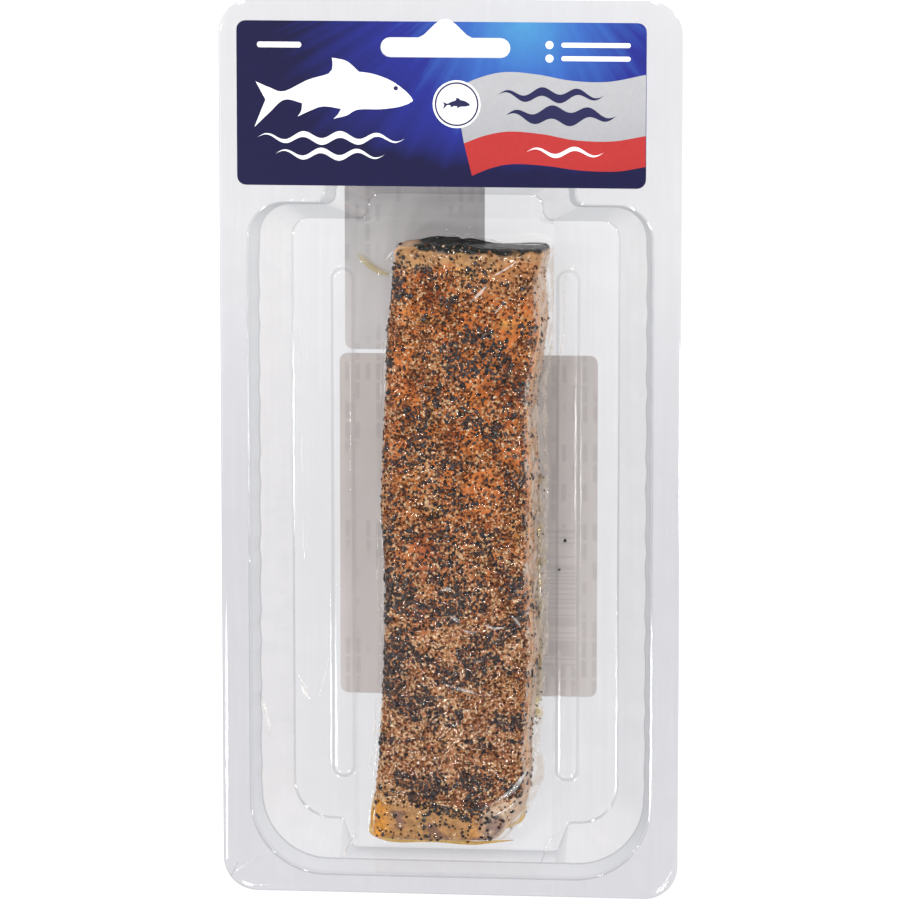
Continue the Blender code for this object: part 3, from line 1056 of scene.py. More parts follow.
@dataclass
class Fillet:
    """The fillet, as cross-sections from its back end to its front."""

    foot: float
    back: float = 51.5 * MM
    length: float = 151.5 * MM
    slant: float = 1.2 * MM
    foot_corner: float = 2.6 * MM
    top_corner: float = 3.2 * MM
    crown: float = 0.6 * MM
    end_round: float = 1.6 * MM
    sections: int = 250
    stations: tuple[tuple[float, float, float, float], ...] = (
        (0.0, 4.5, 18.4, 16.5),
        (0.06, 4.0, 17.8, 18.6),
        (0.13, 3.7, 18.7, 19.3),
        (0.26, 2.0, 17.7, 19.5),
        (0.4, 1.7, 18.5, 19.5),
        (0.54, 1.85, 17.95, 19.0),
        (0.68, 2.0, 18.4, 17.6),
        (0.82, 0.6, 18.2, 15.2),
        (0.93, -0.8, 18.6, 12.0),
        (1.0, -4.9, 15.9, 9.0),
    )
    hills: Point = (0.34 * MM, 7 * MM)
    dimples: Point = (0.16 * MM, 2.1 * MM)
    bow: tuple[Point, ...] = (
        (-14, -0.5), (-9, 0.0), (-5, 1.1), (-2, 0.8), (2, 0.9), (6, 0.2), (10, -0.5), (15, -0.6), (24, -0.4)
    )

    def at(self, share: float) -> tuple[float, float, float]:
        """The fillet at a share of its length.

        Args:
            share: 0 at the back end, 1 at the front.

        Returns:
            Its middle, half width and thickness there, in metres.
        """
        share = min(max(share, 0.0), 1.0)
        rows = self.stations
        k = max(i for i in range(len(rows) - 1) if rows[i][0] <= share)
        before, start, end, after = (rows[min(max(i, 0), len(rows) - 1)] for i in range(k - 1, k + 3))
        t = (share - start[0]) / (end[0] - start[0])
        values = []
        for c in (1, 2, 3):
            first = (end[c] - before[c]) / (end[0] - before[0]) * (end[0] - start[0])
            last = (after[c] - start[c]) / (after[0] - start[0]) * (end[0] - start[0])
            value = (2 * t**3 - 3 * t**2 + 1) * start[c] + (t**3 - 2 * t**2 + t) * first
            values.append((value + (3 * t**2 - 2 * t**3) * end[c] + (t**3 - t**2) * last) * MM)
        return tuple(values)

    def section(self, share: float, grow: float) -> list[Vector]:
        """Points (x, z) round a cross-section, moved out."""
        middle, half, thickness = self.at(share)
        corners = (
            (middle - half, self.foot, self.foot_corner),
            (middle + half + self.slant, self.foot, self.foot_corner),
            (middle + half, self.foot + thickness, self.top_corner),
            (middle - half, self.foot + thickness, self.top_corner),
        )
        points = rounded_outline(corners, (5, 5, 8, 8), (14, 14, 46, 14), -grow)
        for p in points:
            if p.y > self.foot + thickness / 2:
                across = (p.x - middle) / (half + grow)
                p.y += self.crown * max(0.0, 1 - across * across)
        return points

    def surface(self) -> tuple[np.ndarray, Faces]:
        """Points and faces of the fillet, with its relief."""
        ends = [
            (self.end_round * (1 - math.cos(a)), self.end_round * (1 - math.sin(a)))
            for a in (math.pi / 2 * k / 7 for k in range(7))
        ]
        straight = self.length - 2 * self.end_round
        places = list(ends)
        places += [(self.end_round + straight * k / (self.sections - 1), 0.0) for k in range(self.sections)]
        places += [(self.length - way, inset) for way, inset in reversed(ends)]
        rows = []
        for way, inset in places:
            section = self.section(way / self.length, -inset)
            rows.append([(p.x, self.back - way, p.y) for p in section])
        points = np.array(rows)
        outward = self.outward(points)
        x, y, z = points[..., 0], points[..., 1], points[..., 2]
        relief = self.hills[0] * layered_noise(x + z, y, self.hills[1], 21)
        relief += self.dimples[0] * layered_noise(x - z, y + z, self.dimples[1], 31)
        points = points + outward * relief[..., None] * (z > self.foot + 1 * MM)[..., None]
        bow = np.interp(x / MM, *zip(*self.bow))
        points[..., 1] += bow * MM * smooth_step(self.back - 5 * MM, self.back, y)
        count, around = points.shape[:2]
        faces = [
            (i * around + j, i * around + (j + 1) % around, (i + 1) * around + (j + 1) % around, (i + 1) * around + j)
            for i in range(count - 1)
            for j in range(around)
        ]
        faces.append(tuple(range(around)))
        faces.append(tuple((count - 1) * around + j for j in reversed(range(around))))
        return points.reshape(-1, 3), faces

    @staticmethod
    def outward(points: np.ndarray) -> np.ndarray:
        """Unit directions out of a tube of sections."""
        along = np.gradient(points, axis=0)
        around = np.roll(points, -1, axis=1) - np.roll(points, 1, axis=1)
        normal = np.cross(around, along)
        normal /= np.linalg.norm(normal, axis=2, keepdims=True) + 1e-12
        centre = points.mean(axis=1, keepdims=True)
        side = np.sign((normal * (points - centre)).sum(axis=2, keepdims=True).mean())
        return normal * side

    def build(self, finish: Material, cover: Callable) -> Piece:
        """Makes the fillet's flesh.

        Args:
            finish: Its material.
            cover: Gives the share under pepper from x, y and how far the surface faces up.

        Returns:
            The fillet, in place of its node.
        """
        points, faces = self.surface()
        piece = mesh_piece("fillet_flesh", points, faces, finish)
        bm = bmesh.new()
        bm.from_mesh(piece.data)
        bmesh.ops.recalc_face_normals(bm, faces=bm.faces)
        bm.to_mesh(piece.data)
        bm.free()
        normals = np.array([v.normal[:] for v in piece.data.vertices])
        shares = cover(points[:, 0], points[:, 1], normals[:, 2])
        piece.data.attributes.new("cover", "FLOAT", "POINT").data.foreach_set("value", shares.astype(np.float32))
        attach(piece, "root")
        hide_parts("fillet")
        return piece


class Grain(Enum):
    """Kinds of pepper grain, each with its least and greatest radius and its height for its width."""

    BLACK = (0.30 * MM, 0.82 * MM, 0.66)
    BROWN = (0.23 * MM, 0.54 * MM, 0.7)
    PALE = (0.22 * MM, 0.50 * MM, 0.6)


# Barer places in the pepper: middle x and y, half width, half length and how bare
BARE_PATCHES = (
    (13 * MM, 45.5 * MM, 8 * MM, 2 * MM, 0.75),
    (10 * MM, 41 * MM, 4 * MM, 4.5 * MM, 0.6),
    (14.5 * MM, 32 * MM, 3.5 * MM, 5 * MM, 0.8),
    (6.5 * MM, 34 * MM, 3 * MM, 2.5 * MM, 0.6),
    (-11 * MM, 25 * MM, 3 * MM, 2.5 * MM, 0.6),
    (-8 * MM, 36 * MM, 4 * MM, 2 * MM, 0.5),
    (-12 * MM, 2 * MM, 2.5 * MM, 2.5 * MM, 0.5),
    (6 * MM, 4 * MM, 4 * MM, 3 * MM, 0.6),
    (2 * MM, -17 * MM, 4 * MM, 2 * MM, 0.4),
    (9 * MM, -8 * MM, 6 * MM, 4.5 * MM, 0.75),
    (-7 * MM, -25 * MM, 5.5 * MM, 4 * MM, 0.7),
    (-6 * MM, -42 * MM, 4 * MM, 4 * MM, 0.45),
)


@dataclass
class PepperCrust:
    """Cracked pepper pressed into the fillet, in drifts of dark and pale grains."""

    fillet: Fillet
    tries: int = 46000
    most: int = 9900
    seed: int = 5
    sink: float = 0.15
    cover: float = 1.75
    packing: float = 0.55
    cell: float = 1.2 * MM
    patch_cell: float = 7.5 * MM
    drift_cell: float = 5.2 * MM
    tint_cell: float = 5 * MM
    bare_share: float = 0.62
    loose_run: Point3 = (-71, -6, 0.55)
    loose_across: Point = (20.6, 0.75)
    even_place: Point = (1 * MM, -13 * MM)
    even_reach: Point = (20 * MM, 21 * MM)
    front_line: tuple[Point, ...] = (
        (-18.6, -88.9), (-13.6, -89.7), (-6.5, -91.2), (1, -92.7), (5.8, -93.2), (10.7, -89.3), (17.3, -87), (20, -86)
    )
    strays: tuple[Point3, ...] = (
        (27.6, -24.1, 0.55), (26.3, -31.5, 0.5), (3.2, -102, 0.5), (17.9, -93.9, 0.5), (14.2, -98.2, 0.45)
    )

    def density(self, x: np.ndarray, y: np.ndarray, up: np.ndarray) -> np.ndarray:
        """Share of the flesh that is covered.

        Args:
            x: Places along X.
            y: Places along Y.
            up: How far the surface faces up, from 0 to 1.

        Returns:
            A share from 0 to 1 for each place.
        """
        share = (self.fillet.back - y) / self.fillet.length
        patches = layered_noise(x, y, self.patch_cell, 41)
        bare = smooth_step(0.05, 0.4, patches) * smooth_step(0.72, 0.35, share) * self.bare_share
        level = 0.74 + 0.26 * smooth_step(0.15, 0.5, share)
        level = level * (1 - bare)
        level *= 0.1 + 0.9 * smooth_step(0.02, 0.042, share + 0.012 * patches)
        front = np.interp(x / MM, *zip(*self.front_line)) * MM
        level *= 0.05 + 0.95 * smooth_step(-1.2 * MM, 1.5 * MM, y - front + 1.6 * MM * patches)
        for cx, cy, wide, long, strength in BARE_PATCHES:
            away = ((x - cx) / wide) ** 2 + ((y - cy) / long) ** 2 + 0.5 * patches
            level *= 1 - strength * smooth_step(1.4, 0.5, away)
        middle = np.interp(y, (-100 * MM, -60 * MM, 50 * MM), (-4 * MM, 1 * MM, 3 * MM))
        rightward = smooth_step(0.0, 6 * MM, x - middle)
        side = (1 - rightward) * smooth_step(0.25, 0.75, up) + rightward * smooth_step(0.5, 0.9, up)
        return level * (0.08 - 0.05 * rightward + 0.92 * side)

    def scatter(self) -> dict[Grain, list[tuple[np.ndarray, np.ndarray, float]]]:
        """Draws the grains' places.

        Returns:
            For each kind, its grains as (place, direction out of the flesh, radius).
        """
        draw = np.random.default_rng(self.seed)
        points, faces = self.fillet.surface()
        quads = np.array([f for f in faces if len(f) == 4])
        corners = points[quads]
        across = np.cross(corners[:, 2] - corners[:, 0], corners[:, 3] - corners[:, 1])
        area = np.linalg.norm(across, axis=1) / 2
        centre = corners.mean(axis=1)
        normal = across / (2 * area[:, None] + 1e-15)
        middle = np.array([self.fillet.at(s)[0] for s in (self.fillet.back - centre[:, 1]) / self.fillet.length])
        axis = np.stack([middle, centre[:, 1], np.full(len(centre), 10 * MM)], axis=1)
        normal *= np.sign((normal * (centre - axis)).sum(axis=1, keepdims=True))
        weight = area * self.density(centre[:, 0], centre[:, 1], normal[:, 2])
        weight[normal[:, 2] < -0.2] = 0
        chosen = draw.choice(len(quads), self.tries, p=weight / weight.sum())
        mix = draw.dirichlet((1, 1, 1, 1), self.tries)
        places = (corners[chosen] * mix[..., None]).sum(axis=1)
        drift = layered_noise(places[:, 0] * 0.85, places[:, 1], self.drift_cell, 51, 3)
        away = (places[:, :2] - self.even_place) / self.even_reach
        even = np.exp(-(away[:, 0] ** 2) - away[:, 1] ** 2)
        lower = smooth_step(10 * MM, -60 * MM, places[:, 1])
        tint = layered_noise(places[:, 0], places[:, 1], self.tint_cell, 61, 2)
        lot, size = draw.random(self.tries), draw.random(self.tries)
        taken: dict[tuple[int, int, int], list[tuple[np.ndarray, float]]] = {}
        grains: dict[Grain, list] = {kind: [] for kind in Grain}
        covered, area_limit = 0.0, self.cover * weight.sum()
        for k in range(self.tries):
            black = 0.07 + 0.86 * float(smooth_step(0.0, 0.16, drift[k]))
            black += (0.26 - black) * 0.7 * even[k]
            pale = (0.29 + 0.27 * lower[k] + 0.4 * tint[k]) * (1 - 0.7 * black)
            kind = Grain.BLACK if lot[k] < black else Grain.PALE if lot[k] > 1 - pale else Grain.BROWN
            small, large, _ = kind.value
            radius = small + (large - small) * size[k] ** 1.8
            home = tuple(np.floor(places[k] / self.cell).astype(int))
            boxes = (tuple(h + s for h, s in zip(home, step)) for step in product((-1, 0, 1), repeat=3))
            near = [other for box in boxes for other in taken.get(box, ())]
            crowded = any(((places[k] - p) ** 2).sum() < (self.packing * (radius + r)) ** 2 for p, r in near)
            if crowded or len(grains[kind]) >= self.most:
                continue
            taken.setdefault(home, []).append((places[k], radius))
            grains[kind].append((places[k], normal[chosen[k]], radius))
            covered += math.pi * radius * radius
            if covered > area_limit:
                break
        level = self.fillet.foot + 0.4 * MM
        loose = [(x * MM, y * MM, level, radius * MM) for x, y, radius in self.strays]
        for y in np.arange(*self.loose_run):
            x = draw.normal(*self.loose_across)
            along, rise, radius = draw.uniform(-0.5, 0.5), draw.uniform(0, 1.5), draw.uniform(0.2, 0.5)
            loose.append((x * MM, (y + along) * MM, level + rise * MM, radius * MM))
        for x, y, z, radius in loose:
            kind = Grain.BLACK if draw.random() < 0.6 else Grain.BROWN
            grains[kind].append((np.array([x, y, z]), np.array([0.0, 0.0, 1.0]), radius))
        return grains

    def build(self, finishes: dict[Grain, Material]) -> list[Piece]:
        """Makes one piece of each kind of grain.

        Args:
            finishes: The material of each kind.

        Returns:
            The pieces.
        """
        draw = np.random.default_rng(self.seed + 1)
        unit = bmesh.new()
        bmesh.ops.create_icosphere(unit, subdivisions=1, radius=1.0)
        shape = np.array([v.co[:] for v in unit.verts])
        sides = np.array([[v.index for v in f.verts] for f in unit.faces])
        unit.free()
        pieces = []
        for kind, grains in self.scatter().items():
            count = len(grains)
            place = np.array([g[0] for g in grains])
            out = np.array([g[1] for g in grains])
            radius = np.array([g[2] for g in grains])[:, None, None]
            rough = 1 + draw.uniform(-0.24, 0.24, (count, len(shape), 1))
            sides_share, depth_share = draw.uniform(0.65, 1.0, count), draw.uniform(0.55, 0.9, count)
            stretch = np.stack([np.ones(count), sides_share, depth_share], axis=1)
            local = shape[None] * rough * stretch[:, None, :]
            turn = random_turns(draw, count)
            local = np.einsum("nij,nvj->nvi", turn, local) * radius
            height = kind.value[2]
            flat = 1 - height
            depth = (local * out[:, None, :]).sum(axis=2, keepdims=True)
            local = local - flat * depth * out[:, None, :]
            rise = radius[:, :, 0] * (height - self.sink) * 0.55
            points = local + (place + out * rise)[:, None, :]
            faces = (sides[None] + (np.arange(count) * len(shape))[:, None, None]).reshape(-1, 3)
            piece = mesh_piece(f"pepper_{kind.name.lower()}", points.reshape(-1, 3), faces, finishes[kind], False)
            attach(piece, "root")
            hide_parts("fillet")
            LOG.info("%s: %d grains", piece.name, count)
            pieces.append(piece)
        return pieces


def random_turns(draw: np.random.Generator, count: int) -> np.ndarray:
    """Rotation matrices in every direction alike.

    Args:
        draw: The source of random numbers.
        count: How many.

    Returns:
        The matrices, one after another.
    """
    q = draw.normal(size=(count, 4))
    w, x, y, z = (q / np.linalg.norm(q, axis=1, keepdims=True)).T
    rows = (
        (1 - 2 * (y * y + z * z), 2 * (x * y - z * w), 2 * (x * z + y * w)),
        (2 * (x * y + z * w), 1 - 2 * (x * x + z * z), 2 * (y * z - x * w)),
        (2 * (x * z - y * w), 2 * (y * z + x * w), 1 - 2 * (x * x + y * y)),
    )
    return np.stack([np.stack(row, axis=1) for row in rows], axis=1)


# Juice and film


def ridge(line: np.ndarray, width: float, height: float, start: int) -> tuple[np.ndarray, Faces]:
    """A low domed strip along a line, tapered to a point at both ends.

    Args:
        line: The line's points, one row each.
        width: Its greatest width.
        height: Its greatest height above the line.
        start: The number that its first point gets.

    Returns:
        Points and faces.
    """
    along = np.gradient(line[:, :2], axis=0)
    along /= np.linalg.norm(along, axis=1, keepdims=True) + 1e-12
    aside = np.stack([-along[:, 1], along[:, 0]], axis=1)
    share = np.linspace(0, 1, len(line))
    taper = np.sin(math.pi * np.clip(share, 0.02, 0.98)) ** 0.6
    rows = []
    for across in (-1, -0.6, 0, 0.6, 1):
        place = line.copy()
        place[:, :2] += aside * (across * width / 2 * taper)[:, None]
        place[:, 2] += height * (1 - across * across) * taper
        rows.append(place)
    points = np.stack(rows, axis=1).reshape(-1, 3)
    faces = [
        tuple(start + n for n in (5 * i + j, 5 * i + j + 1, 5 * i + j + 6, 5 * i + j + 5))
        for i in range(len(line) - 1)
        for j in range(4)
    ]
    return points, faces


def smooth_line(marks: Sequence[Point], step: float = 0.5 * MM) -> np.ndarray:
    """Points on a soft curve through the marks.

    Args:
        marks: Places (x, y) that it passes.
        step: About how far the points are apart.

    Returns:
        The points, one row each.
    """
    marks = np.array(marks, dtype=float)
    ends = np.vstack([2 * marks[0] - marks[1], marks, 2 * marks[-1] - marks[-2]])
    points = []
    for a, b, c, d in zip(ends, ends[1:], ends[2:], ends[3:]):
        count = max(2, int(np.linalg.norm(c - b) / step))
        turns = (2 * b, c - a, 2 * a - 5 * b + 4 * c - d, 3 * b - a - 3 * c + d)
        for t in np.arange(count) / count:
            points.append(0.5 * sum(turn * t**k for k, turn in enumerate(turns)))
    points.append(marks[-1])
    return np.array(points)


def ridges(name: str, lines: Sequence[tuple[np.ndarray, float, float]], finish: Material) -> Piece:
    """Many ridges as one object.

    Args:
        name: The piece's name.
        lines: Each line, with its ridge's width and height.
        finish: Its material.

    Returns:
        The piece.
    """
    points, faces, count = [], [], 0
    for line, width, height in lines:
        new_points, new_faces = ridge(line, width, height, count)
        points.append(new_points)
        faces += new_faces
        count += len(new_points)
    return mesh_piece(name, np.vstack(points), faces, finish)


@dataclass
class Juices:
    """Amber juice round the fillet's front, with pale oil in beads along its right side."""

    fillet: Fillet
    floor: float
    seed: int = 12
    bead_run: Point3 = (-70, -8, 1.15)
    bead_across: Point = (19.7, 21.6)
    streak_height: float = 0.35 * MM
    above_floor: float = 0.32 * MM
    streaks: tuple = (
        (
            (
                (-21.0, -93), (-21.3, -97), (-21.5, -100.0), (-18.5, -101.6), (-14.1, -102.1),
                (-5.5, -101.8), (3.8, -102.4), (9, -102.0), (14.8, -101.4),
            ),
            1.2,
        ),
        (((-20.0, -89), (-20.2, -93), (-20.5, -97.5), (-20.2, -101.4)), 2.4),
        (((10.5, -99.0), (14.0, -97.6), (17.0, -95.4), (17.6, -90), (18.2, -84)), 1.1),
    )
    oil_streaks: tuple = (
        (((-24.5, 47.6), (-22.7, 45.7), (-19.6, 43.4), (-16.4, 42.5)), 1.3),
        (((20.6, -70), (20.9, -58), (20.7, -44), (20.3, -30), (20.3, -16), (20.3, -8)), 2.6),
    )

    def build(self, juice: Material, oil: Material) -> list[Piece]:
        """Makes the juice and the oil.

        Args:
            juice: Material of the juice.
            oil: Material of the oil.

        Returns:
            Both pieces.
        """
        amber = self.pool("amber_juice", self.streaks, juice)
        return [amber, self.pool("oil_beads", self.oil_streaks, oil, self.beads())]

    def beads(self) -> list[tuple[list[Point], float, float]]:
        """Short drops along the right side, each as marks, width and height."""
        draw = np.random.default_rng(self.seed)
        lines = []
        run = np.arange(*self.bead_run)
        for y in run + draw.uniform(-0.4, 0.4, len(run)):
            if draw.random() < 0.8:
                x, long, wide = draw.uniform(*self.bead_across), draw.uniform(0.9, 2.6), draw.uniform(1.2, 2.6)
                lean = draw.uniform(-0.5, 0.5)
                marks = in_mm([(x, y - long / 2), (x + lean / 2, y), (x + lean, y + long / 2)])
                lines.append((marks, wide * MM, draw.uniform(0.5, 1.3) * MM))
        return lines

    def pool(self, name: str, streaks: tuple, finish: Material, drops: Sequence = ()) -> Piece:
        """Makes one liquid as one piece.

        Args:
            name: The piece's name.
            streaks: Its streaks, as marks and width in millimetres.
            finish: Its material.
            drops: More of it, as marks, width and height in metres.

        Returns:
            The piece.
        """
        marked = [(in_mm(marks), width * MM, self.streak_height) for marks, width in streaks]
        lines = []
        for marks, width, height in [*marked, *drops]:
            flat = smooth_line(marks, 0.25 * MM)
            level = np.full(len(flat), self.floor + self.above_floor)
            lines.append((np.column_stack([flat, level]), width, height))
        piece = ridges(name, lines, finish)
        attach(piece, "root")
        return piece


@dataclass
class Film:
    """The clear film: flat over the flange, down the pocket's walls and tight over the fillet."""

    pack: Pack
    tray: Tray
    lift: float = 0.35 * MM
    flange_lift: float = 0.55 * MM
    way_in: float = 0.25 * MM
    half_width: float = 24.6 * MM
    low: float = -103.4 * MM
    high: float = 57 * MM
    cell: float = 0.38 * MM
    slope: float = 12.0
    right_slope: float = 6.5
    slope_change: float = 0.45
    fall_passes: int = 16
    soft_passes: int = 2
    even_passes: int = 8

    def grid(self) -> tuple[np.ndarray, np.ndarray]:
        """Places of the draped part's points."""
        xs = np.linspace(-self.half_width, self.half_width, round(2 * self.half_width / self.cell) + 1)
        ys = np.linspace(self.low, self.high, round((self.high - self.low) / self.cell) + 1)
        return np.meshgrid(xs, ys)

    def drape(self, x: np.ndarray, y: np.ndarray, under: BVHTree) -> np.ndarray:
        """Heights of the film where it clings to the food.

        Args:
            x: Places along X.
            y: Places along Y.
            under: What it lies on.

        Returns:
            One height for each place.
        """
        level = self.pack.floor + self.lift
        food = np.maximum(heights_under(under, x, y, 0.0) + 0.1 * MM, level)
        rightward = smooth_step(4 * MM, 12 * MM, x)
        slope = self.slope + (self.right_slope - self.slope) * rightward
        slope -= 3.2 * rightward * smooth_step(-72 * MM, -84 * MM, y)
        slope = slope * (1 + self.slope_change * layered_noise(x * 0.25, y, 5 * MM, 71))
        height = food.copy()
        for _ in range(self.fall_passes):
            grown = height.copy()
            for dx, dy in ((0, 1), (1, 0), (1, 1), (1, -1)):
                fall = slope * self.cell * math.hypot(dx, dy)
                for sign in (-1, 1):
                    moved = np.roll(height, (sign * dy, sign * dx), axis=(0, 1))
                    grown = np.maximum(grown, moved - fall)
            height = grown
        height = np.maximum(self.softened(height, self.soft_passes), food - 0.05 * MM)
        away = np.minimum(self.half_width - np.abs(x), np.minimum(y - self.low, self.high - y))
        return level + (height - level) * smooth_step(0.0, 0.8 * MM, away)

    @staticmethod
    def softened(height: np.ndarray, passes: int) -> np.ndarray:
        """Heights evened out with their neighbours, a number of times."""
        for _ in range(passes):
            for axis in (0, 1):
                height = (np.roll(height, 1, axis) + 2 * height + np.roll(height, -1, axis)) / 4
        return height

    def web(self, x: np.ndarray, y: np.ndarray, z: np.ndarray, food: np.ndarray) -> np.ndarray:
        """Share of haze on the draped film, most where it spans from the food's right side to the floor.

        Args:
            x: Places along X.
            y: Places along Y.
            z: Heights of the film.
            food: Heights of the food under it.

        Returns:
            A share from 0 to 1 for each place.
        """
        fall = -np.gradient(self.softened(z, self.even_passes), self.cell, axis=1)
        gap = z - np.maximum(food, self.pack.floor + self.lift)
        share = smooth_step(0.8, 2.4, fall) + 0.6 * smooth_step(0.5 * MM, 1.8 * MM, gap)
        return np.clip(share, 0, 1) * smooth_step(2 * MM, 8 * MM, x) * smooth_step(51.5 * MM, 48.5 * MM, y)

    def build(self, sheet: Material, cling: Material, under: BVHTree) -> list[Piece]:
        """Makes the film in two pieces that share their border.

        Args:
            sheet: Material of the plain part.
            cling: Material of the part over the food.
            under: What it lies on.

        Returns:
            Both pieces, in place of the film's node.
        """
        x, y = self.grid()
        z = self.drape(x, y, under)
        rows, columns = x.shape
        points = np.stack([x, y, z], axis=2).reshape(-1, 3)
        corner = (np.arange(rows - 1)[:, None] * columns + np.arange(columns - 1)[None]).reshape(-1, 1)
        faces = corner + np.array([[0, 1, columns + 1, columns]])
        draped = mesh_piece("film_over_food", points, faces, cling)
        web = self.web(x, y, z, heights_under(under, x, y, 0.0))
        draped.data.attributes.new("web", "FLOAT", "POINT").data.foreach_set("value", web.ravel().astype(np.float32))
        bm = bmesh.new()
        flat = self.pack.flange + self.flange_lift
        rim = ring(bm, self.pack.edge(), flat)
        slot = ring(bm, self.pack.slot(), flat)
        lifts = [(way + self.way_in, height + self.lift) for way, height in self.tray.wall()]
        lifts[0] = (lifts[0][0], flat)
        walls = [ring(bm, self.pack.pocket(way), min(height, flat)) for way, height in lifts]
        for first, second in zip(walls, walls[1:]):
            bridge(bm, first, second)
        fill(bm, [rim, slot, walls[0]])
        level = self.pack.floor + self.lift
        feet = self.tray.ribs(bm, level, self.way_in, 0.3 * MM)
        around = [(0, k) for k in range(columns)] + [(k, -1) for k in range(1, rows)]
        around += [(-1, k) for k in range(columns - 2, -1, -1)] + [(k, 0) for k in range(rows - 2, 0, -1)]
        edge = [(x[place], y[place]) for place in around]
        fill(bm, [walls[-1], *feet, ring(bm, edge, level)])
        face_up(bm)
        plain = bmesh_piece("film_over_tray", bm, sheet, 50)
        plain.data.materials.append(sheet)
        for piece in (draped, plain):
            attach(piece, "root")
            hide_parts("film")
        return [draped, plain]


@dataclass
class FilmCreases:
    """Creases and small blisters where the film has puckered, as thin ridges on it. Their whitish haze is partly
    whitened film and partly painted highlight.
    """

    lines: tuple = (
        (((-48.6, -62.7), (-47.1, -69), (-46.1, -75.5)), 1.0, 0.25),
        (((-39.4, -62.3), (-37.9, -64.8), (-36.1, -66.6)), 0.9, 0.25),
        (((-40.4, -58.5), (-39.0, -61.5), (-37.6, -63.2)), 0.5, 0.2),
        (((-31.5, -50.3), (-32.4, -57), (-34.8, -65.8)), 0.5, 0.2),
        (((-45.5, -102.1), (-50.6, -104.8), (-56.2, -109.4)), 0.6, 0.25),
        (((56.2, -104.2), (54.3, -107.6), (51.5, -110.7)), 0.5, 0.2),
        (((-24.2, -99.2), (-26.5, -102.3), (-27.8, -105)), 0.6, 0.25),
        (((25.9, -98.6), (23.6, -102.2), (22.3, -105.5)), 0.6, 0.25),
        (((-39.8, 28.5), (-39.2, 22), (-39.5, 15.5)), 0.35, 0.12),
        (((-38.6, 3), (-38.9, -4), (-38.2, -9)), 0.35, 0.12),
        (((-38.2, -19), (-38.6, -25), (-38.0, -30)), 0.35, 0.12),
        (((7.5, -91.0), (11.5, -88.6), (15.8, -85.4), (19.6, -79.5)), 1.3, 0.5),
        (((10.5, -92.6), (14.5, -90.4), (18.4, -86.8)), 0.9, 0.4),
        (((19.9, -84.5), (20.4, -79), (20.6, -73)), 0.8, 0.4),
        (((-15.1, 44), (-15.5, 38), (-16.8, 30), (-17.4, 22), (-17.8, 12), (-17.7, 2)), 0.5, 0.15),
        (((-18.3, -2), (-18.0, -12), (-18.4, -24), (-18.2, -38), (-18.6, -52)), 0.5, 0.15),
        (((-19.0, -56), (-18.8, -66), (-19.5, -76), (-20.5, -86)), 0.6, 0.15),
        (((-18.0, 26), (-18.8, 14), (-18.4, 4)), 0.35, 0.15),
        (((-19.4, -20), (-19.8, -33), (-19.3, -45)), 0.35, 0.15),
        (((-20.2, -64), (-20.6, -74), (-21.8, -84)), 0.4, 0.15),
        (((-17.8, 45.2), (-15.9, 48.0), (-13.2, 49.4)), 0.7, 0.3),
        (((-7, 52.9), (0, 53.2), (6, 52.6), (15, 51.9), (24, 51.8)), 0.5, 0.2),
        (((5.6, 38.4), (7.6, 40.2), (9.6, 42.6)), 0.8, 0.25),
        (((11.6, 35.6), (13.2, 37.6), (14.2, 39.0)), 0.6, 0.2),
        (((10.6, 44.6), (14.0, 46.4), (17.2, 48.6)), 0.5, 0.2),
        (((-1.6, -33.9), (-0.2, -33.3), (1.2, -33.6)), 0.9, 0.25),
        (((0.4, -40.2), (1.8, -41.0), (3.1, -42.0)), 1.0, 0.25),
        (((3.8, -43.9), (5.6, -44.5), (7.4, -44.2)), 0.7, 0.2),
        (((9.0, -42.4), (11.4, -43.2), (14.0, -43.0)), 0.7, 0.2),
        (((15.6, -39.8), (17.0, -41.2), (18.0, -43.0)), 0.8, 0.25),
        (((6.0, -50.9), (7.4, -51.8), (8.8, -51.5)), 0.8, 0.2),
        (((-1.0, -57.8), (1.4, -58.8), (4.2, -59.4), (7.6, -60.4)), 0.7, 0.2),
        (((31.4, 46.4), (28.2, 43.6), (27.0, 40.2), (27.5, 36.9), (27.0, 26.4), (24.9, 14.8)), 0.4, 0.2),
    )

    def build(self, finish: Material, film: BVHTree) -> Piece:
        """Makes all the creases as one piece.

        Args:
            finish: Its material.
            film: The film that they lie on.

        Returns:
            The piece.
        """
        lines = []
        for marks, width, height in self.lines:
            flat = smooth_line(in_mm(marks))
            level = heights_under(film, flat[:, 0], flat[:, 1], 0.0) + 0.03 * MM
            lines.append((np.column_stack([flat, level]), width * MM, height * MM))
        piece = ridges("film_creases", lines, finish)
        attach(piece, "root")
        return piece


# Print


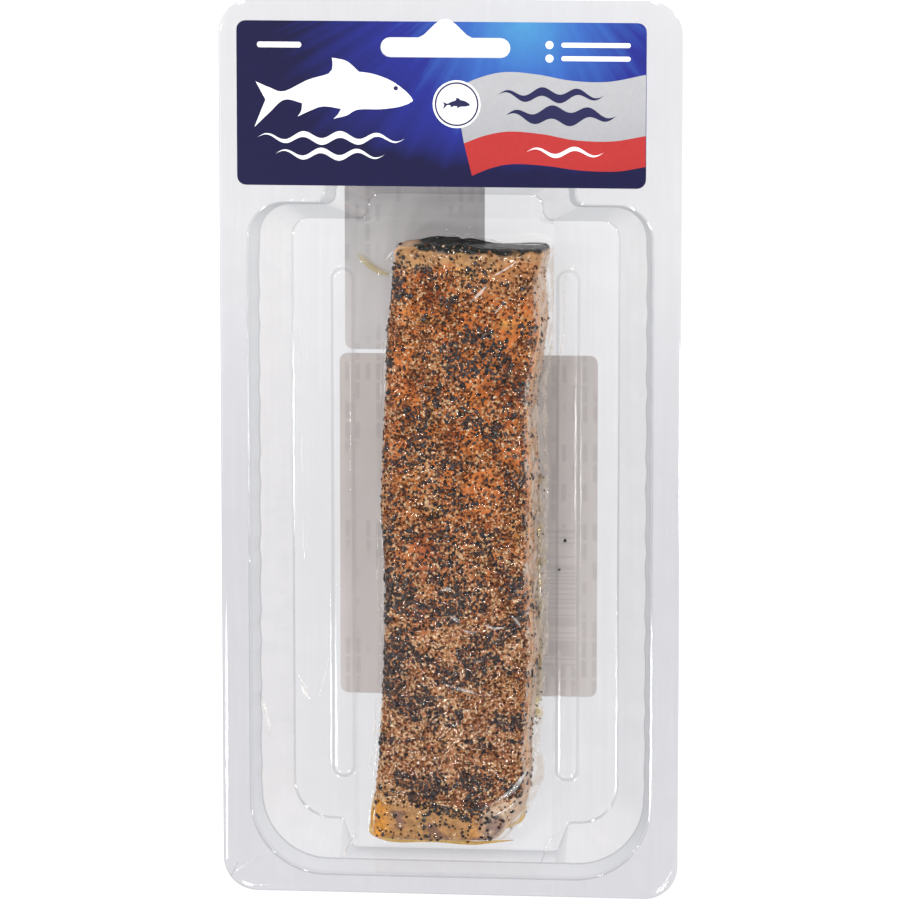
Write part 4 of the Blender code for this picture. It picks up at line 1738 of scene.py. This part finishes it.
@dataclass
class HeaderPrint:
    """Patches of print on the header label, each a thin sheet on its face."""

    height: float
    right: float
    lift: float = 0.03 * MM

    def patch(self, name: str, shapes: Sequence[Sequence[Sequence[Point]]], finish: Material, level: int = 1) -> None:
        """Makes one piece of flat print.

        Args:
            name: The piece's name.
            shapes: For each shape its outline and then its holes, in millimetres.
            finish: Its material.
            level: How many sheets up it lies.
        """
        bm = bmesh.new()
        for loops in shapes:
            fill(bm, [ring(bm, in_mm(loop), self.height + level * self.lift) for loop in loops])
        face_up(bm)
        piece = bmesh_piece(name, bm, finish)
        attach(piece, "root")

    @staticmethod
    def band(top: Sequence[Point], foot: Sequence[Point]) -> list[Point]:
        """Outline of a field between two soft curves, which both run from left to right."""
        upper = smooth_line(top, 0.6).tolist()
        return smooth_line(foot, 0.6).tolist() + upper[::-1]

    @staticmethod
    def disc(x: float, y: float, radius: float, count: int = 40) -> list[Point]:
        """Points round a circle."""
        turns = [2 * math.pi * k / count for k in range(count)]
        return [(x + radius * math.cos(a), y + radius * math.sin(a)) for a in turns]

    @staticmethod
    def bar(left: float, right: float, foot: float, top: float) -> list[Point]:
        """A short bar with round ends."""
        points = rounded_rectangle(left, right, foot, top, (top - foot) / 2 - 0.01, 6)
        return [(p.x, p.y) for p in points]

    @staticmethod
    def fish(x: float, y: float, size: float) -> list[Point]:
        """Outline of a plain leaping fish that faces right, as soft curves between its pointed corners."""
        curves = (
            ((-0.55, 0.15), (-0.485, 0.01)),
            ((-0.485, 0.01), (-0.56, -0.15)),
            ((-0.56, -0.15), (-0.46, -0.085), (-0.36, -0.022), (-0.24, -0.065)),
            ((-0.24, -0.065), (-0.245, -0.115), (-0.27, -0.15)),
            ((-0.27, -0.15), (-0.18, -0.12), (-0.1, -0.1), (0.02, -0.118)),
            ((0.02, -0.118), (0.0, -0.155), (-0.03, -0.185)),
            ((-0.03, -0.185), (0.06, -0.16), (0.13, -0.118), (0.28, -0.095), (0.4, -0.055), (0.47, -0.015)),
            ((0.47, -0.015), (0.485, 0.0), (0.5, 0.02), (0.46, 0.06), (0.36, 0.108), (0.24, 0.132), (0.14, 0.136)),
            ((0.14, 0.136), (0.06, 0.2), (-0.04, 0.222)),
            (
                (-0.04, 0.222), (-0.035, 0.17), (-0.06, 0.118), (-0.2, 0.085),
                (-0.36, 0.035), (-0.46, 0.085), (-0.55, 0.15),
            ),
        )
        outline = [tuple(p) for marks in curves for p in smooth_line(marks, 0.02)[:-1]]
        return [(x + size * a, y + size * (b + 0.3 * (0.25 - a * a))) for a, b in outline]

    @staticmethod
    def swell(left: float, right: float, y: float, waves: float, thick: float) -> list[Point]:
        """A wavy line with pointed ends."""
        steps, rise = 60, 0.9
        low, high = [], []
        for share in (k / steps for k in range(steps + 1)):
            x, middle = left + (right - left) * share, y + rise * math.sin(2 * math.pi * waves * share)
            half = thick / 2 * math.sin(math.pi * share)
            low.append((x, middle - half))
            high.append((x, middle + half))
        return low + high[-2:0:-1]

    def build(self, white: Material, silver: Material, red: Material, navy: Material) -> None:
        """Makes every patch.

        Args:
            white: Material of the plain white print.
            silver: Material of the pale field.
            red: Material of the red field.
            navy: Material of the dark print.
        """
        edge = self.right / MM - 0.12
        top = ((1.2, 90.6), (7.5, 93.4), (14, 94.8), (22, 94.2), (30, 92.8), (39, 92.6), (edge, 94.4))
        middle = ((3.6, 77.2), (9, 79.2), (15, 80.2), (23, 79.6), (31, 78.2), (40, 78.0), (edge, 79.4))
        foot = ((5.6, 69.2), (10.5, 71.2), (16, 72.2), (24, 71.8), (32, 70.8), (41, 70.6), (edge, 71.8))
        self.patch("print_silver", [[self.band(top, middle)]], silver)
        self.patch("print_red", [[self.band(middle, foot)]], red)
        whites = [
            [self.fish(-27.5, 87.0, 37)],
            [self.swell(-47.5, -11, 78.2, 4, 1.7)],
            [self.swell(-43, -16, 74.2, 3, 1.4)],
            [self.bar(-47.5, -36.5, 100.4, 101.8)],
            [self.bar(27.5, 44.5, 100.9, 102.1)],
            [self.bar(27.5, 44.5, 97.6, 98.8)],
            [self.disc(24.6, 101.5, 1.0, 20)],
            [self.disc(24.6, 98.2, 1.0, 20)],
            [self.swell(19, 38, 75.2, 2, 1.1)],
        ]
        self.patch("print_white", whites, white, 2)
        ring_badge = [[self.disc(1.8, 86.8, 5.4), self.disc(1.8, 86.8, 5.0)], [self.fish(1.9, 86.5, 6.4)]]
        self.patch("print_badge_ground", [[self.disc(1.8, 86.8, 5.9)]], white, 2)
        self.patch("print_badge", ring_badge, navy, 3)
        waves = [[self.swell(12, 38, 89.2, 3, 2.2)], [self.swell(14, 41, 84.2, 3, 3.4)]]
        self.patch("print_navy", [*waves, [self.disc(-13.2, 90.6, 0.55, 14)]], navy, 3)


# Studio


@dataclass
class Studio:
    """White floor, soft lights and the camera."""

    target: Vector
    distance: float = 1.337
    tilt_y: float = 9.0
    tilt_x: float = 5.5
    lens: float = 215.6
    softboxes: tuple = (
        ("left_softbox", (-1.3, 0.2, 0.9), (0.9, 1.3), 5.5),
        ("right_softbox", (1.3, -0.1, 0.9), (0.9, 1.3), 4.5),
        ("top_softbox", (0.1, 1.3, 1.2), (1.2, 0.6), 3.5),
    )
    glint_places: tuple[Point, ...] = (
        (-0.55, -0.35), (-0.4, 0.5), (0.15, -0.6), (0.6, 0.45), (0.7, -0.2), (-0.75, 0.1), (0.1, 0.62), (-0.3, -0.65)
    )
    glint_height: float = 1.1
    glint_size: Point = (0.08, 0.2)
    glint_power: float = 2.2
    sky: tuple = (
        (0.0, (0.45, 0.45, 0.45)), (0.3, (0.75, 0.75, 0.76)), (0.6, (0.6, 0.6, 0.6)),
        (0.8, (0.15, 0.15, 0.155)), (1.0, (0.08, 0.08, 0.085)),
    )

    def floor(self) -> None:
        """The plain white floor."""
        made, graph, surface = new_material("white floor")
        tone = graph.mottled((0.30, 0.30, 0.30), 3.0, 0.004).outputs["Color"]
        inputs = {"Base Color": tone, "Roughness": 0.9, "Emission Color": (1.0, 1.0, 1.0), "Emission Strength": 0.72}
        graph.feed(surface, graph.principled(inputs))
        half = 3.0
        corners = np.array([(-half, -half, 0), (half, -half, 0), (half, half, 0), (-half, half, 0)])
        corners[:, 2] = -0.02 * MM
        mesh_piece("studio_floor", corners, [(0, 1, 2, 3)], made, False)

    def world(self) -> None:
        """Even light from all round, dimmer from straight above and in reflections."""
        world = bpy.data.worlds.new("studio")
        bpy.context.scene.world = world
        world.use_nodes = True
        world.node_tree.nodes.clear()
        graph = Graph(world.node_tree)
        height = graph.split(graph.add("TexCoord").outputs["Generated"])[2]
        colour = graph.ramp(height, *self.sky)
        mirrored = graph.add("LightPath").outputs["Is Glossy Ray"]
        strength = graph.math("MULTIPLY_ADD", mirrored, -0.5, 1.0)
        back = graph.add("Background", {"Color": colour, "Strength": strength})
        graph.feed(graph.add("OutputWorld").inputs["Surface"], back.outputs[0])

    def light(self, name: str, place: Point3, size: tuple[float, float], power: float) -> None:
        """An area light that faces the object.

        Args:
            name: Its name.
            place: Where it is.
            size: Its width and height.
            power: Its power in watts.
        """
        data = bpy.data.lights.new(name, "AREA")
        data.shape, data.size, data.size_y, data.energy = "RECTANGLE", size[0], size[1], power
        lamp = in_scene(name, data)
        lamp.location = place
        lamp.rotation_euler = (self.target - Vector(place)).to_track_quat("-Z", "Y").to_euler()

    def camera(self) -> None:
        """The camera at the photograph's angle."""
        data = bpy.data.cameras.new("camera")
        data.lens, data.sensor_width = self.lens, 36.0
        side, up = math.sin(math.radians(self.tilt_x)), math.sin(math.radians(self.tilt_y))
        away = Vector((side, up, math.sqrt(1 - side * side - up * up)))
        camera = in_scene("camera", data)
        upward = (Vector((0, 1, 0)) - away * up).normalized()
        turn = Matrix((upward.cross(away), upward, away)).transposed()
        camera.matrix_world = Matrix.Translation(self.target + away * self.distance) @ turn.to_4x4()
        bpy.context.scene.camera = camera

    def build(self) -> None:
        """Sets the whole studio up."""
        self.floor()
        self.world()
        for softbox in self.softboxes:
            self.light(*softbox)
        for k, (x, y) in enumerate(self.glint_places):
            self.light(f"glint_{k}", (x, y, self.glint_height), self.glint_size, self.glint_power)
        self.camera()
        bpy.context.scene.view_settings.view_transform = "Standard"


def sheet_finishes(pack: Pack) -> dict[str, ClearSheet]:
    """The finishes of the clear sheets, by use."""
    clear = dict(thick_height=pack.flange, edge_tint=(0.64, 0.645, 0.66))
    # The tray's tight bends get a darker tint: painted shade for the thin dark lines there
    bend_shade, crease = (0.66, 0.66, 0.68), (0.97, 0.97, 0.97)
    # The creases' whitish haze is partly whitened film and partly painted highlight
    haze_and_highlight = dict(haze=0.5, side_haze=0.5, haze_colour=(0.86, 0.82, 0.78))
    film = ClearSheet("clear film", (0.905, 0.905, 0.918), thick_tint=(0.84, 0.84, 0.86), **clear)
    over_food = ClearSheet(
        "film on food",
        flat_tint=film.flat_tint,
        edge_tint=(0.82, 0.83, 0.85),
        thick_tint=(0.99, 0.99, 0.99),
        thick_height=pack.floor + 3.5 * MM,
        roughness=0.04,
        mirror=0.012,
        grazing=0.2,
        edge_power=6.0,
        dents=1.0,
        bump=0.5,
        haze=0.002,
        side_haze=0.75,
    )
    return {
        "tray": ClearSheet("clear tray", (0.865, 0.865, 0.878), thick_tint=(0.82, 0.82, 0.84), **clear),
        "bend_shade": ClearSheet("tray bend", bend_shade, thick_tint=bend_shade, mirror=0.1, **clear),
        "film": film,
        "over food": over_food,
        "crease": ClearSheet("film crease", crease, thick_tint=crease, **haze_and_highlight, **clear),
    }


def build_food(pack: Pack) -> list[Piece]:
    """Makes the fillet, its pepper and its juices.

    Args:
        pack: The pack that they lie in.

    Returns:
        The fillet first, then the rest.
    """
    food_low, food_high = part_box("fillet")
    fillet = Fillet(food_low.z)
    crust = PepperCrust(fillet)
    flesh = Flesh("smoked salmon flesh", food_high.y, food_low.y)
    pepper = {
        Grain.BLACK: Pepper("black pepper", (0.007, 0.006, 0.007), (0.018, 0.013, 0.015), (0.052, 0.034, 0.032), 0.8),
        Grain.BROWN: Pepper("brown pepper", (0.040, 0.012, 0.006), (0.10, 0.034, 0.016), (0.24, 0.095, 0.040), 0.1),
        Grain.PALE: Pepper("pale pepper", (0.33, 0.140, 0.055), (0.45, 0.26, 0.13), (0.60, 0.44, 0.29), 0.15),
    }
    juice = ClearLiquid("amber juice", (0.93, 0.68, 0.26), (0.50, 0.27, 0.06))
    oil = ClearLiquid("pale oil", (0.95, 0.88, 0.65), (0.54, 0.44, 0.25), 0.2)
    return [
        fillet.build(flesh.material(), crust.density),
        *crust.build({kind: finish.material() for kind, finish in pepper.items()}),
        *Juices(fillet, pack.floor).build(juice.material(), oil.material()),
    ]


def print_labels() -> None:
    """Dresses the header label and both back labels, which keep their own solids."""
    panel_low, panel_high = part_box("back_label_panel")
    _, header_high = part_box("header_label")
    white, ink = (0.86, 0.86, 0.85), (0.05, 0.05, 0.055)
    bars = (panel_high.x - 14 * MM, panel_high.x - 5 * MM, panel_low.y + 8 * MM, panel_low.y + 43 * MM)
    finishes = {
        "header_label": WaterPrint("blue water print", glow_x=18.5 * MM, glow_y=header_high.y, reach=62 * MM),
        # The back labels' grey food-facing colours and their darkening towards +Y are painted shade and a painted
        # shadow
        "back_label_strip": LabelPaper(
            "strip label", (0.66, 0.635, 0.625), white, ink, (0.0,) * 4, painted_shadow_from=28 * MM, painted_shadow_to=62 * MM, painted_shadow_level=0.70
        ),
        "back_label_panel": LabelPaper(
            "panel label", (0.69, 0.64, 0.605), white, ink, bars, painted_shadow_from=panel_low.y, painted_shadow_to=panel_high.y, painted_shadow_level=0.88
        ),
    }
    for name, finish in finishes.items():
        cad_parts[name].material_slots[0].material = finish.material()
    plain = Ink("white print", (0.84, 0.84, 0.86), (0.88, 0.88, 0.9), 70 * MM, 104 * MM)
    silver = Ink("silver print", (0.345, 0.345, 0.36), (0.42, 0.42, 0.435), 76 * MM, 95 * MM, 0.3)
    red = Ink("red print", (0.375, 0.024, 0.024), (0.42, 0.031, 0.030), 69 * MM, 80 * MM)
    navy = Ink("navy print", (0.015, 0.015, 0.06), (0.02, 0.02, 0.08), 70 * MM, 104 * MM)
    HeaderPrint(header_high.z, header_high.x).build(*(shade.material() for shade in (plain, silver, red, navy)))


def main() -> None:
    """Builds every part of the pack, then the studio."""
    logging.basicConfig(level=logging.INFO, format="%(name)s: %(message)s")
    low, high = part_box("tray")
    pack = Pack(high.x, high.y, low.z + 0.5 * MM, high.z)
    tray = Tray(pack)
    sheet = {use: finish.material() for use, finish in sheet_finishes(pack).items()}
    pieces = [tray.build(sheet["tray"], sheet["bend_shade"]), *build_food(pack)]
    pieces += Film(pack, tray).build(sheet["film"], sheet["over food"], tree_of(*pieces[1:]))
    pieces.append(FilmCreases().build(sheet["crease"], tree_of(*pieces[-2:])))
    print_labels()
    for piece in pieces:
        LOG.info("%s: %d faces", piece.name, len(piece.data.polygons))
    Studio(Vector((0, 0.65 * MM, 15.5 * MM))).build()


if __name__ == "__main__":
    main()
